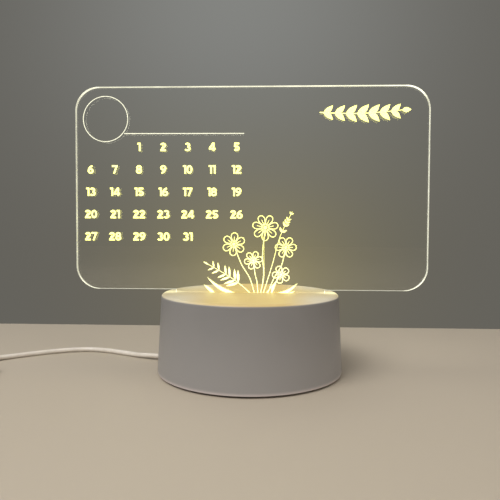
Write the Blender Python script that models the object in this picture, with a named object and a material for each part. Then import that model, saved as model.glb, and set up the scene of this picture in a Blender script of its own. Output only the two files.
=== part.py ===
"""LED writing board: a clear engraved board that stands in the slot of a round lamp base.

Metres, +Z up. The origin is on the table under the middle of the base. The board's faces look
along Y and its width runs along X. The power lead leaves the base at the back left.
"""

import math

import bmesh
import bpy
from mathutils import Matrix, Vector

# Clearances shared by all pieces
SEAT_GAP = 0.0003
CUT_OVERRUN = 0.0010
JOIN_OVERLAP = 0.0010
MERGE_DISTANCE = 0.000001

# Mesh counts
BASE_STEPS = 96
BOSS_STEPS = 16
FOOT_STEPS = 24
SCREW_STEPS = 12
CORNER_STEPS = 10
SMALL_CORNER_STEPS = 4
SHARP_ANGLE = math.radians(35.0)

# Board, a flat sheet with a narrower tab that goes down into the base
BOARD_WIDTH = 0.2400
BOARD_HEIGHT = 0.1380
BOARD_THICKNESS = 0.0040
BOARD_CORNER_RADIUS = 0.0160
BOARD_OVER_BASE = 0.0018
TAB_WIDTH = 0.1020
TAB_LENGTH = 0.0130
TAB_CORNER_RADIUS = 0.0015

# Base housing, as wide at its top as the tab with a land beyond each end
BASE_END_LAND = 0.0090
BASE_DRAFT = 0.0025
BASE_TOP_RADIUS = TAB_WIDTH / 2 + BASE_END_LAND
BASE_BOTTOM_RADIUS = BASE_TOP_RADIUS + BASE_DRAFT
BASE_HEIGHT = 0.0520
BASE_LIFT = 0.0012
RIM_RADIUS = 0.0025
WALL = 0.0022
TOP_THICKNESS = 0.0026
BOTTOM_EDGE_RADIUS = 0.0005

# Slot in the housing's top, and the pocket walls under it
SLOT_SIDE_CLEARANCE = 0.0003
SLOT_END_CLEARANCE = 0.00125
SLOT_CHAMFER = 0.0004
POCKET_WALL = 0.0016
POCKET_DEPTH = 0.0060
RIB_THICKNESS = 0.0015
RIB_PLACE_SHARES = (-0.5, 0.0, 0.5)

# Posts that take the cover's screws, each with a web to the wall
POST_COUNT = 4
POST_INSET = 0.0110
POST_CIRCLE_RADIUS = BASE_BOTTOM_RADIUS - POST_INSET
POST_RADIUS = 0.0035
POST_FIRST_ANGLE = math.radians(45.0)
PILOT_DEPTH = 0.0095

# Bottom cover and its feet
COVER_THICKNESS = 0.0024
COVER_RECESS = 0.0008
FOOT_COUNT = 4
FOOT_INSET = 0.0125
FOOT_CIRCLE_RADIUS = BASE_BOTTOM_RADIUS - FOOT_INSET
FOOT_RADIUS = 0.0050
FOOT_POCKET_DEPTH = 0.0010
FOOT_EDGE = 0.0006

# Screws: radius and height of the head, radius and length of the shank
COVER_SCREW = {"head_radius": 0.0027, "head": 0.0013, "shank_radius": 0.00135, "shank": 0.0090}
CARRIER_SCREW = {"head_radius": 0.0025, "head": 0.0014, "shank_radius": 0.00125, "shank": 0.0080}
CLAMP_SCREW = {"head_radius": 0.0022, "head": 0.0012, "shank_radius": 0.0010, "shank": 0.0048}
SWITCH_SCREW = {"head_radius": 0.0016, "head": 0.0007, "shank_radius": 0.0008, "shank": 0.0050}
COVER_SCREW_SINK = 0.0012
DRIVE_LENGTH_SHARE = 1.30
DRIVE_WIDTH_SHARE = 0.26
DRIVE_DEPTH_SHARE = 0.55
SCREW_EDGE_SHARE = 0.35

# Light strip, its chips and the channel that carries it under the tab
LED_COUNT = 10
LED_LENGTH = 0.0035
LED_WIDTH = 0.0028
LED_HEIGHT = 0.0019
LED_AIR_GAP = 0.0006
LED_RIM = 0.00045
LED_DISH = 0.0004
STRIP_WIDTH = 0.0080
STRIP_THICKNESS = 0.0012
RESISTOR_LENGTH = 0.0020
RESISTOR_WIDTH = 0.0012
RESISTOR_HEIGHT = 0.0006
RESISTOR_GAPS = (2, 5, 8)
CARRIER_WALL = 0.0016
CARRIER_LEDGE_OVERLAP = 0.0014
CARRIER_EAR_RADIUS = 0.0042
CARRIER_EAR_THICKNESS = 0.0025
CARRIER_EAR_REACH = 0.0062
CARRIER_EAR_PLACE_SHARE = 0.62
WIRE_WINDOW_LENGTH = 0.0080
WIRE_WINDOW_WIDTH = 0.0056
WIRE_WINDOW_PLACE_SHARE = 0.86

# Power lead
CORD_DIAMETER = 0.0035
CORD_EXIT_ANGLE = math.radians(163.5)
CORD_EXIT_HEIGHT = 0.0030
RELIEF_NECK_RADIUS = 0.00215
RELIEF_COLLAR_RADIUS = 0.0028
RELIEF_COLLAR_LENGTH = 0.0020
RELIEF_INNER_LENGTH = 0.0018
RELIEF_SLEEVE_RADIUS = 0.0026
RELIEF_SLEEVE_LENGTH = 0.0078
RELIEF_TIP_RADIUS = 0.0020
RELIEF_STEPS = 16
WIRE_DIAMETER = 0.0012

# Clamp that grips the lead on the bottom cover
CLAMP_INSET = 0.0240
CLAMP_CIRCLE_RADIUS = BASE_BOTTOM_RADIUS - CLAMP_INSET
CLAMP_POST_SPACING = 0.0116
CLAMP_POST_RADIUS = 0.0028
CLAMP_BAR_WIDTH = 0.0060
CLAMP_BAR_THICKNESS = 0.0022
COVER_NOTCH_LENGTH = 0.0190
COVER_NOTCH_INNER_RADIUS = BASE_BOTTOM_RADIUS - COVER_NOTCH_LENGTH

# In-line switch
SWITCH_BODY_LENGTH = 0.0340
SWITCH_TAPER_LENGTH = 0.0060
SWITCH_NOSE_LENGTH = 0.0040
SWITCH_WIDTH = 0.0160
SWITCH_HEIGHT = 0.0120
SWITCH_NOSE_SIZE = 0.0062
SWITCH_CORNER_RADIUS = 0.0035
SWITCH_WALL = 0.0014
SWITCH_FLOOR = 0.0020
SWITCH_TAPER_STEPS = 5
SWITCH_ENTRY = (-0.1984, -0.0115)
SWITCH_HEADING = math.radians(245.0)
SWITCH_BOSS_PLACE = 0.0125
SWITCH_BOSS_RADIUS = 0.0022
ROCKER_LENGTH = 0.0104
ROCKER_WIDTH = 0.0076
ROCKER_WINDOW_END_GAP = 0.0009
ROCKER_RISE = 0.0044
ROCKER_DIP = 0.0006
ROCKER_DROP = 0.0024
ROCKER_PIVOT_HEIGHT = 0.0086
ROCKER_PIN_RADIUS = 0.0010
ROCKER_PIN_LENGTH = 0.0014
ROCKER_TILT = math.radians(7.0)
CRADLE_THICKNESS = 0.0012
CRADLE_LENGTH = 0.0044
CONTACT_LENGTH = 0.0056
CONTACT_WIDTH = 0.0040
CONTACT_THICKNESS = 0.0005
CONTACT_HEIGHT = 0.0026
CONTACT_PLACE = 0.0042

# Coil of the lead that is put away
COIL_CENTRE = (-0.1985, -0.0780)
COIL_OUTER_TURN_RADIUS = 0.0255
COIL_TURN_GAP = 0.0005
COIL_START_ANGLE = math.radians(180.0)
COIL_END_ANGLE = math.radians(370.0)
COIL_WHOLE_TURNS = 8
COIL_POINTS_PER_TURN = 24
TIE_WIDTH = 0.0045
TIE_THICKNESS = 0.0006
TIE_ANGLE = math.radians(285.0)

# Plug
PLUG_TAIL_LENGTH = 0.0090
PLUG_BODY_LENGTH = 0.0230
PLUG_RELIEF_LENGTH = 0.0080
PLUG_WIDTH = 0.0156
PLUG_HEIGHT = 0.0078
PLUG_CORNER_RADIUS = 0.0028
PLUG_RELIEF_DIAMETER = 0.0050
PLUG_SHELL_WIDTH = 0.0120
PLUG_SHELL_HEIGHT = 0.0045
PLUG_SHELL_LENGTH = 0.0120
PLUG_SHELL_WALL = 0.0004
PLUG_TONGUE_THICKNESS = 0.0016
PLUG_TONGUE_SETBACK = 0.0006
PLUG_CONTACT_COUNT = 4
PLUG_CONTACT_WIDTH = 0.0010
PLUG_CONTACT_THICKNESS = 0.0003
PLUG_CONTACT_LENGTH = 0.0080
PLUG_CONTACT_PITCH = 0.0022

# Route of the lead on the table between the strain relief and the switch
CORD_ROUTE = [
    (-0.0785, 0.0240, 0.00245),
    (-0.0858, 0.0275, 0.0019),
    (-0.0930, 0.0313, 0.00175),
    (-0.1011, 0.0352, 0.00175),
    (-0.1102, 0.0392, 0.00175),
    (-0.1190, 0.0420, 0.00175),
    (-0.1274, 0.0432, 0.00175),
    (-0.1352, 0.0424, 0.00175),
    (-0.1422, 0.0402, 0.00175),
    (-0.1489, 0.0374, 0.00175),
    (-0.1552, 0.0340, 0.00175),
    (-0.1613, 0.0301, 0.00175),
    (-0.1671, 0.0261, 0.00175),
    (-0.1729, 0.0220, 0.00175),
    (-0.1782, 0.0176, 0.00180),
    (-0.1830, 0.0128, 0.00215),
    (-0.1873, 0.0075, 0.0032),
    (-0.1910, 0.0016, 0.0049),
]

# Routes inside the base, from the strain relief to the clamp and from there to the strip
INNER_CORD_INSETS = (0.0125, 0.0160, 0.0195)
INNER_CORD_RISE_SHARES = (0.30, 0.72, 0.98)
# Shares of the base's radius in plan, and of the rise from the clamp to the strip in height
WIRE_ROUTE_SHARES = (
    (-0.451, 0.133, 0.066),
    (-0.435, 0.112, 0.242),
    (-0.496, 0.077, 0.434),
    (-0.600, 0.035, 0.626),
    (-0.664, 0.010, 0.786),
)
WIRE_SPACING = 0.0026


def base_top():
    return BASE_LIFT + BASE_HEIGHT


def outer_radius(height):
    """Radius of the tapered wall's outer side at a height over the table."""
    share = (height - BASE_LIFT) / BASE_HEIGHT
    return BASE_BOTTOM_RADIUS + share * (BASE_TOP_RADIUS - BASE_BOTTOM_RADIUS)


def inner_radius(height):
    return outer_radius(height) - WALL


# Heights that stack up from the tab's lower edge
TOP_UNDERSIDE = base_top() - TOP_THICKNESS
BOARD_BOTTOM = base_top() + BOARD_OVER_BASE
TAB_BOTTOM = BOARD_BOTTOM - TAB_LENGTH
LEDGE_TOP = TAB_BOTTOM - SEAT_GAP
LED_BOTTOM = TAB_BOTTOM - LED_AIR_GAP - LED_HEIGHT
STRIP_TOP = LED_BOTTOM - SEAT_GAP
STRIP_BOTTOM = STRIP_TOP - STRIP_THICKNESS
CARRIER_FLOOR_TOP = STRIP_BOTTOM - SEAT_GAP
CARRIER_BOTTOM = CARRIER_FLOOR_TOP - CARRIER_WALL
POCKET_BOTTOM = TOP_UNDERSIDE - POCKET_DEPTH
CARRIER_TOP = POCKET_BOTTOM - SEAT_GAP
COVER_BOTTOM = BASE_LIFT + COVER_RECESS
COVER_TOP = COVER_BOTTOM + COVER_THICKNESS
POST_BOTTOM = COVER_TOP + SEAT_GAP

# Lengths along and across the slot
SLOT_HALF_LENGTH = TAB_WIDTH / 2 + SLOT_END_CLEARANCE
SLOT_HALF_WIDTH = BOARD_THICKNESS / 2 + SLOT_SIDE_CLEARANCE
POCKET_HALF_LENGTH = SLOT_HALF_LENGTH + POCKET_WALL
POCKET_HALF_WIDTH = SLOT_HALF_WIDTH + POCKET_WALL
STRIP_HALF_LENGTH = TAB_WIDTH / 2 - CARRIER_LEDGE_OVERLAP - SEAT_GAP
CARRIER_INNER_HALF_WIDTH = STRIP_WIDTH / 2 + SEAT_GAP
CARRIER_HALF_WIDTH = CARRIER_INNER_HALF_WIDTH + CARRIER_WALL
CARRIER_HALF_LENGTH = POCKET_HALF_LENGTH + CARRIER_WALL
EAR_X = CARRIER_HALF_LENGTH * CARRIER_EAR_PLACE_SHARE
EAR_Y = CARRIER_HALF_WIDTH + CARRIER_EAR_REACH
COIL_PITCH = CORD_DIAMETER + COIL_TURN_GAP
CORD_RADIUS = CORD_DIAMETER / 2


def clear_scene():
    for thing in list(bpy.data.objects):
        bpy.data.objects.remove(thing, do_unlink=True)


def make_material(name, colour, roughness, metallic=0.0, transmission=0.0):
    material = bpy.data.materials.new(name)
    material.use_nodes = True
    shader = material.node_tree.nodes["Principled BSDF"]
    shader.inputs["Base Color"].default_value = (*colour, 1.0)
    shader.inputs["Roughness"].default_value = roughness
    shader.inputs["Metallic"].default_value = metallic
    shader.inputs["Transmission Weight"].default_value = transmission
    material.diffuse_color = (*colour, 1.0)
    return material


def link_mesh(name, shape):
    bmesh.ops.recalc_face_normals(shape, faces=shape.faces)
    mesh = bpy.data.meshes.new(name)
    shape.to_mesh(mesh)
    shape.free()
    mesh.shade_smooth()
    mesh.set_sharp_from_angle(angle=SHARP_ANGLE)
    thing = bpy.data.objects.new(name, mesh)
    bpy.context.scene.collection.objects.link(thing)
    return thing


def piece(name, shape, material, parent=None, location=(0, 0, 0), rotation=(0, 0, 0)):
    """A sub-part: one closed mesh with its own material, placed under its parent."""
    thing = link_mesh(name, shape)
    thing.data.materials.append(material)
    thing.parent = parent
    thing.location = location
    thing.rotation_euler = rotation
    return thing


def helper(name, shape, parent=None, location=(0, 0, 0), rotation=(0, 0, 0)):
    """A former or a cutter, which only other pieces' Booleans use."""
    thing = link_mesh(name, shape)
    thing.parent = parent
    thing.location = location
    thing.rotation_euler = rotation
    thing.hide_render = True
    thing.display_type = "WIRE"
    return thing


def place(name, location, rotation=(0, 0, 0)):
    """An empty that carries a group of pieces."""
    thing = bpy.data.objects.new(name, None)
    bpy.context.scene.collection.objects.link(thing)
    thing.location = location
    thing.rotation_euler = rotation
    return thing


def combine(target, tool, operation):
    modifier = target.modifiers.new(tool.name, "BOOLEAN")
    modifier.operation = operation
    modifier.solver = "EXACT"
    modifier.object = tool


def cut(target, tool):
    combine(target, tool, "DIFFERENCE")


def join(target, tool):
    combine(target, tool, "UNION")


def arc(centre, radius, first, last, steps):
    """Points of an arc from one angle to another, both ends included."""
    turns = [first + (last - first) * step / steps for step in range(steps + 1)]
    x, y = centre
    return [(x + radius * math.cos(turn), y + radius * math.sin(turn)) for turn in turns]


def circle(centre, radius, steps):
    return arc(centre, radius, 0.0, math.tau, steps)[:-1]


def rectangle(low, high):
    return [(low[0], low[1]), (high[0], low[1]), (high[0], high[1]), (low[0], high[1])]


def rounded_rectangle(width, height, radius, steps):
    right = width / 2 - radius
    upper = height / 2 - radius
    corners = ((right, upper), (-right, upper), (-right, -upper), (right, -upper))
    outline = []
    for quarter, corner in enumerate(corners):
        start = quarter * math.pi / 2
        outline += arc(corner, radius, start, start + math.pi / 2, steps)
    return outline


def add_prism(shape, outline, low, high):
    """Adds a closed prism over an outline in XY to a bmesh."""
    lower = [shape.verts.new((x, y, low)) for x, y in outline]
    face = shape.faces.new(lower)
    grown = bmesh.ops.extrude_face_region(shape, geom=[face])["geom"]
    risen = [part for part in grown if isinstance(part, bmesh.types.BMVert)]
    bmesh.ops.translate(shape, verts=risen, vec=(0, 0, high - low))


def prism(*layers):
    """A mesh of one or more prisms, each given as an outline, its lowest and its highest level."""
    shape = bmesh.new()
    for outline, low, high in layers:
        add_prism(shape, outline, low, high)
    return shape


def box(low, high):
    return prism((rectangle(low, high), low[2], high[2]))


def post(radius, steps, low, high):
    """A round post on the Z axis."""
    return prism((circle((0, 0), radius, steps), low, high))


def revolve(profile, steps):
    """Turns a profile of radius and height round Z. Both its ends are on the axis."""
    shape = bmesh.new()
    verts = [shape.verts.new((radius, 0, height)) for radius, height in profile]
    edges = [shape.edges.new(pair) for pair in zip(verts, verts[1:])]
    bmesh.ops.spin(
        shape, geom=verts + edges, cent=(0, 0, 0), axis=(0, 0, 1), angle=math.tau, steps=steps, use_merge=True
    )
    bmesh.ops.remove_doubles(shape, verts=shape.verts, dist=MERGE_DISTANCE)
    return shape


def loft(sections):
    """A closed skin over sections that have the same number of points."""
    shape = bmesh.new()
    rings = [[shape.verts.new(point) for point in section] for section in sections]
    for ring, following in zip(rings, rings[1:]):
        for index in range(len(ring)):
            after = (index + 1) % len(ring)
            shape.faces.new((ring[index], ring[after], following[after], following[index]))
    shape.faces.new(rings[0])
    shape.faces.new(rings[-1])
    return shape


def copy_to(shape, places):
    """Repeats a mesh at each place, as separate solids of one mesh."""
    source = list(shape.verts) + list(shape.edges) + list(shape.faces)
    first, *others = places
    for target in others:
        made = bmesh.ops.duplicate(shape, geom=source)["geom"]
        verts = [part for part in made if isinstance(part, bmesh.types.BMVert)]
        bmesh.ops.translate(shape, verts=verts, vec=target)
    kept = [part for part in source if isinstance(part, bmesh.types.BMVert)]
    bmesh.ops.translate(shape, verts=kept, vec=first)
    return shape


def around(radius, count, first_angle, height=0.0):
    """Places spread evenly on a circle about Z."""
    angles = [first_angle + math.tau * index / count for index in range(count)]
    return [(radius * math.cos(angle), radius * math.sin(angle), height) for angle in angles]


def tube(name, points, diameter, roundness, material):
    """A cord's solid: a round tube along points, with filled ends."""
    curve = bpy.data.curves.new(name, "CURVE")
    curve.dimensions = "3D"
    curve.bevel_depth = diameter / 2
    curve.bevel_resolution = roundness
    curve.use_fill_caps = True
    spline = curve.splines.new("POLY")
    spline.points.add(len(points) - 1)
    for target, point in zip(spline.points, points):
        target.co = (*point, 1.0)
    spline.use_smooth = True
    thing = bpy.data.objects.new(name, curve)
    thing.data.materials.append(material)
    bpy.context.scene.collection.objects.link(thing)
    return thing


def smooth_route(points, steps):
    """Reads points from a smooth curve that passes through the route's own points."""
    points = [Vector(point) for point in points]
    ends = [2 * points[0] - points[1], *points, 2 * points[-1] - points[-2]]
    route = []
    for before, start, end, after in zip(ends, ends[1:], ends[2:], ends[3:]):
        for step in range(steps):
            share = step / steps
            pull = (end - before) * share + (2 * before - 5 * start + 4 * end - after) * share**2
            route.append(start + (pull + (3 * start - before - 3 * end + after) * share**3) / 2)
    return route + [points[-1]]


def screw_shape(size):
    """A pan-head screw that points up, its head's seat at height zero."""
    edge = size["head"] * SCREW_EDGE_SHARE
    tip = size["shank_radius"]
    profile = [
        (0, -size["head"]),
        (size["head_radius"] - edge, -size["head"]),
        (size["head_radius"], edge - size["head"]),
        (size["head_radius"], 0),
        (size["shank_radius"], 0),
        (size["shank_radius"], size["shank"] - tip),
        (0, size["shank"]),
    ]
    return revolve(profile, SCREW_STEPS)


def cross_outline(half_length, half_width):
    """Outline of a cross recess."""
    outline = []
    for quarter in range(4):
        turn = Matrix.Rotation(quarter * math.pi / 2, 2)
        for x, y in ((half_length, -half_width), (half_length, half_width), (half_width, half_width)):
            outline.append(tuple(turn @ Vector((x, y))))
    return outline


def screws(name, size, places, parent=None, points_down=False):
    """Screws of one size, each with a cross recess in its head."""
    half_length = size["head_radius"] * DRIVE_LENGTH_SHARE / 2
    half_width = size["head_radius"] * DRIVE_WIDTH_SHARE / 2
    outline = cross_outline(half_length, half_width)
    floor = size["head"] * DRIVE_DEPTH_SHARE - size["head"]
    recess = prism((outline, -size["head"] - CUT_OVERRUN, floor))
    tilt = math.pi if points_down else 0.0
    bmesh.ops.rotate(recess, matrix=Matrix.Rotation(tilt, 3, "X"), verts=recess.verts)
    recesses = helper(name + "_drive_cutter", copy_to(recess, places), parent)
    for number, location in enumerate(places, start=1):
        screw = piece(f"{name}_{number}", screw_shape(size), STEEL, parent, location, (tilt, 0, 0))
        cut(screw, recesses)


def slope(height):
    """Distance that the wall leans in from the base's lower edge up to a height."""
    return BASE_BOTTOM_RADIUS - outer_radius(height)


def shell_profile():
    """Half section of the housing, from the middle of its top down its outer side and back up inside."""
    rim_height = base_top() - RIM_RADIUS
    lean = math.atan2(slope(base_top()), BASE_HEIGHT)
    rim_centre = (outer_radius(rim_height) - RIM_RADIUS / math.cos(lean), rim_height)
    edge_height = BASE_LIFT + BOTTOM_EDGE_RADIUS
    edge_centre = (BASE_BOTTOM_RADIUS - BOTTOM_EDGE_RADIUS, edge_height)
    rim = arc(rim_centre, RIM_RADIUS, math.pi / 2, lean, SMALL_CORNER_STEPS + 2)
    edge = arc(edge_centre, BOTTOM_EDGE_RADIUS, 0.0, -math.pi / 2, SMALL_CORNER_STEPS // 2)
    inner_foot = (inner_radius(BASE_LIFT), BASE_LIFT)
    inner_head = (inner_radius(TOP_UNDERSIDE), TOP_UNDERSIDE)
    return [(0, base_top()), *rim, *edge, inner_foot, inner_head, (0, TOP_UNDERSIDE)]


def post_formers():
    """The four screw posts, from the cover up into the top."""
    shape = post(POST_RADIUS, BOSS_STEPS, POST_BOTTOM, TOP_UNDERSIDE + JOIN_OVERLAP)
    return copy_to(shape, around(POST_CIRCLE_RADIUS, POST_COUNT, POST_FIRST_ANGLE))


def web_formers():
    """A web from each screw post out into the wall."""
    shape = bmesh.new()
    inner = POST_CIRCLE_RADIUS
    outer = inner_radius(TOP_UNDERSIDE) + JOIN_OVERLAP
    for index in range(POST_COUNT):
        turn = Matrix.Rotation(POST_FIRST_ANGLE + math.tau * index / POST_COUNT, 2)
        half = RIB_THICKNESS / 2
        outline = [tuple(turn @ Vector(corner)) for corner in rectangle((inner, -half), (outer, half))]
        add_prism(shape, outline, POST_BOTTOM + COVER_THICKNESS, TOP_UNDERSIDE + JOIN_OVERLAP)
    return shape


def rib_formers():
    """Stiffening ribs under the top, from the slot's pocket to the wall on both sides."""
    shape = bmesh.new()
    reach = inner_radius(POCKET_BOTTOM)
    for share in RIB_PLACE_SHARES:
        middle = SLOT_HALF_LENGTH * share
        end = math.sqrt((reach + JOIN_OVERLAP) ** 2 - (abs(middle) + RIB_THICKNESS / 2) ** 2)
        start = POCKET_HALF_WIDTH - JOIN_OVERLAP
        left = middle - RIB_THICKNESS / 2
        right = middle + RIB_THICKNESS / 2
        for outline in (rectangle((left, start), (right, end)), rectangle((left, -end), (right, -start))):
            add_prism(shape, outline, POCKET_BOTTOM, TOP_UNDERSIDE + JOIN_OVERLAP / 2)
    return shape


def ear_places(height=0.0):
    """The two diagonal screw places of the carrier."""
    return [(-EAR_X, EAR_Y, height), (EAR_X, -EAR_Y, height)]


def carrier_boss_formers():
    bottom = CARRIER_BOTTOM + CARRIER_EAR_THICKNESS + SEAT_GAP
    shape = post(POST_RADIUS, BOSS_STEPS, bottom, TOP_UNDERSIDE + JOIN_OVERLAP)
    return copy_to(shape, ear_places())


def slot_cutters():
    """The slot, drawn down through its pocket, and the lead-in chamfer round its mouth."""
    low = POCKET_BOTTOM - CUT_OVERRUN
    high = base_top() + CUT_OVERRUN
    mouth = rectangle((-SLOT_HALF_LENGTH, -SLOT_HALF_WIDTH), (SLOT_HALF_LENGTH, SLOT_HALF_WIDTH))
    far_corner = (SLOT_HALF_LENGTH + SLOT_CHAMFER, SLOT_HALF_WIDTH + SLOT_CHAMFER)
    wide = rectangle((-far_corner[0], -far_corner[1]), far_corner)
    lower = [(x, y, base_top() - SLOT_CHAMFER) for x, y in mouth]
    upper = [(x, y, base_top()) for x, y in wide]
    over = [(x, y, high) for x, y in wide]
    return prism((mouth, low, high)), loft([lower, upper, over])


def pilot_cutters(size, places, bottom, depth):
    radius = size["shank_radius"] + SEAT_GAP
    return copy_to(post(radius, SCREW_STEPS, bottom - CUT_OVERRUN, bottom + depth), places)


def radial(share_along, across=0.0, height=0.0):
    """A place on the lead's way out of the base: distance from the axis, sideways offset and height."""
    along = Vector((math.cos(CORD_EXIT_ANGLE), math.sin(CORD_EXIT_ANGLE), 0.0))
    side = Vector((-along.y, along.x, 0.0))
    return along * share_along + side * across + Vector((0, 0, height))


def notch_cutter(name, half_width, start, end):
    """A notch for the lead, open below, with a round top, drawn out along the lead's way."""
    centre = (0.0, CORD_EXIT_HEIGHT)
    arch = arc(centre, half_width, 0.0, math.pi, BOSS_STEPS // 2)
    outline = [*arch, (-half_width, -CUT_OVERRUN), (half_width, -CUT_OVERRUN)]
    sections = [[radial(along, across, height) for across, height in outline] for along in (start, end)]
    return helper(name, loft(sections))


def build_base_shell(material):
    shell = piece("base_shell", revolve(shell_profile(), BASE_STEPS), material)
    low = (-POCKET_HALF_LENGTH, -POCKET_HALF_WIDTH, POCKET_BOTTOM)
    high = (POCKET_HALF_LENGTH, POCKET_HALF_WIDTH, TOP_UNDERSIDE + JOIN_OVERLAP)
    join(shell, helper("pocket_former", box(low, high)))
    join(shell, helper("rib_formers", rib_formers()))
    join(shell, helper("post_formers", post_formers()))
    join(shell, helper("web_formers", web_formers()))
    join(shell, helper("carrier_boss_formers", carrier_boss_formers()))
    slot, chamfer = slot_cutters()
    cut(shell, helper("slot_cutter", slot))
    cut(shell, helper("slot_chamfer_cutter", chamfer))
    posts = around(POST_CIRCLE_RADIUS, POST_COUNT, POST_FIRST_ANGLE)
    cut(shell, helper("post_hole_cutter", pilot_cutters(COVER_SCREW, posts, POST_BOTTOM, PILOT_DEPTH)))
    ear_top = CARRIER_BOTTOM + CARRIER_EAR_THICKNESS + SEAT_GAP
    cut(shell, helper("boss_hole_cutter", pilot_cutters(CARRIER_SCREW, ear_places(), ear_top, PILOT_DEPTH)))
    start = inner_radius(CORD_EXIT_HEIGHT) - CUT_OVERRUN
    end = BASE_BOTTOM_RADIUS + CUT_OVERRUN
    cut(shell, notch_cutter("shell_notch_cutter", RELIEF_NECK_RADIUS + SEAT_GAP, start, end))
    return shell


def clamp_post_places(height=0.0):
    return [radial(CLAMP_CIRCLE_RADIUS, side * CLAMP_POST_SPACING / 2, height) for side in (-1, 1)]


def clamp_bar_bottom():
    return COVER_TOP + CORD_DIAMETER + 2 * SEAT_GAP


def build_base_cover(material):
    """The bottom cover, with its foot pockets, sunk screw holes, lead notch and clamp posts."""
    radius = inner_radius(COVER_TOP) - SEAT_GAP
    cover = piece("base_cover", post(radius, BASE_STEPS, COVER_BOTTOM, COVER_TOP), material)
    post_top = clamp_bar_bottom() - SEAT_GAP
    former = post(CLAMP_POST_RADIUS, BOSS_STEPS, COVER_TOP - JOIN_OVERLAP, post_top)
    join(cover, helper("clamp_post_formers", copy_to(former, clamp_post_places())))
    below = COVER_BOTTOM - CUT_OVERRUN
    pocket = post(FOOT_RADIUS + SEAT_GAP, FOOT_STEPS, below, COVER_BOTTOM + FOOT_POCKET_DEPTH)
    cut(cover, helper("foot_pocket_cutter", copy_to(pocket, around(FOOT_CIRCLE_RADIUS, FOOT_COUNT, 0.0))))
    places = around(POST_CIRCLE_RADIUS, POST_COUNT, POST_FIRST_ANGLE)
    sink = post(COVER_SCREW["head_radius"] + SEAT_GAP, BOSS_STEPS, below, COVER_BOTTOM + COVER_SCREW_SINK)
    cut(cover, helper("screw_sink_cutter", copy_to(sink, places)))
    hole = pilot_cutters(COVER_SCREW, places, COVER_BOTTOM, COVER_THICKNESS + CUT_OVERRUN)
    cut(cover, helper("screw_hole_cutter", hole))
    start = COVER_NOTCH_INNER_RADIUS
    end = BASE_BOTTOM_RADIUS
    cut(cover, notch_cutter("cover_notch_cutter", RELIEF_COLLAR_RADIUS + SEAT_GAP, start, end))
    depth = CLAMP_SCREW["shank"] - CLAMP_BAR_THICKNESS
    hole_radius = CLAMP_SCREW["shank_radius"] + SEAT_GAP
    clamp_hole = post(hole_radius, SCREW_STEPS, post_top - depth - SEAT_GAP, post_top + CUT_OVERRUN)
    cut(cover, helper("clamp_hole_cutter", copy_to(clamp_hole, clamp_post_places())))
    seat = COVER_BOTTOM + COVER_SCREW_SINK - SEAT_GAP
    screws("cover_screw", COVER_SCREW, around(POST_CIRCLE_RADIUS, POST_COUNT, POST_FIRST_ANGLE, seat))
    return cover


def build_feet(material):
    top = COVER_BOTTOM + FOOT_POCKET_DEPTH - SEAT_GAP
    profile = [(0, top), (FOOT_RADIUS, top), (FOOT_RADIUS, FOOT_EDGE), (FOOT_RADIUS - FOOT_EDGE, 0), (0, 0)]
    for number, location in enumerate(around(FOOT_CIRCLE_RADIUS, FOOT_COUNT, 0.0), start=1):
        piece(f"foot_{number}", revolve(profile, FOOT_STEPS), material, location=location)


def board_outline():
    """The sheet's outline in width and height, with rounded corners and the tab below."""
    right = BOARD_WIDTH / 2 - BOARD_CORNER_RADIUS
    upper = BOARD_HEIGHT - BOARD_CORNER_RADIUS
    corner = BOARD_CORNER_RADIUS
    tab = TAB_WIDTH / 2 - TAB_CORNER_RADIUS
    tab_low = TAB_CORNER_RADIUS - TAB_LENGTH
    quarter = math.pi / 2
    outline = arc((right, upper), corner, 0.0, quarter, CORNER_STEPS)
    outline += arc((-right, upper), corner, quarter, 2 * quarter, CORNER_STEPS)
    outline += arc((-right, corner), corner, 2 * quarter, 3 * quarter, CORNER_STEPS)
    outline.append((-TAB_WIDTH / 2, 0))
    outline += arc((-tab, tab_low), TAB_CORNER_RADIUS, 2 * quarter, 3 * quarter, SMALL_CORNER_STEPS)
    outline += arc((tab, tab_low), TAB_CORNER_RADIUS, 3 * quarter, 4 * quarter, SMALL_CORNER_STEPS)
    outline.append((TAB_WIDTH / 2, 0))
    outline += arc((right, corner), corner, 3 * quarter, 4 * quarter, CORNER_STEPS)
    return outline


def build_board(material):
    """The sheet is drawn flat and stood up, so its thickness runs along Y."""
    half = BOARD_THICKNESS / 2
    shape = prism((board_outline(), -half, half))
    upright = (math.pi / 2, 0, 0)
    return piece("acrylic_board", shape, material, location=(0, 0, BOARD_BOTTOM), rotation=upright)


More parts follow.
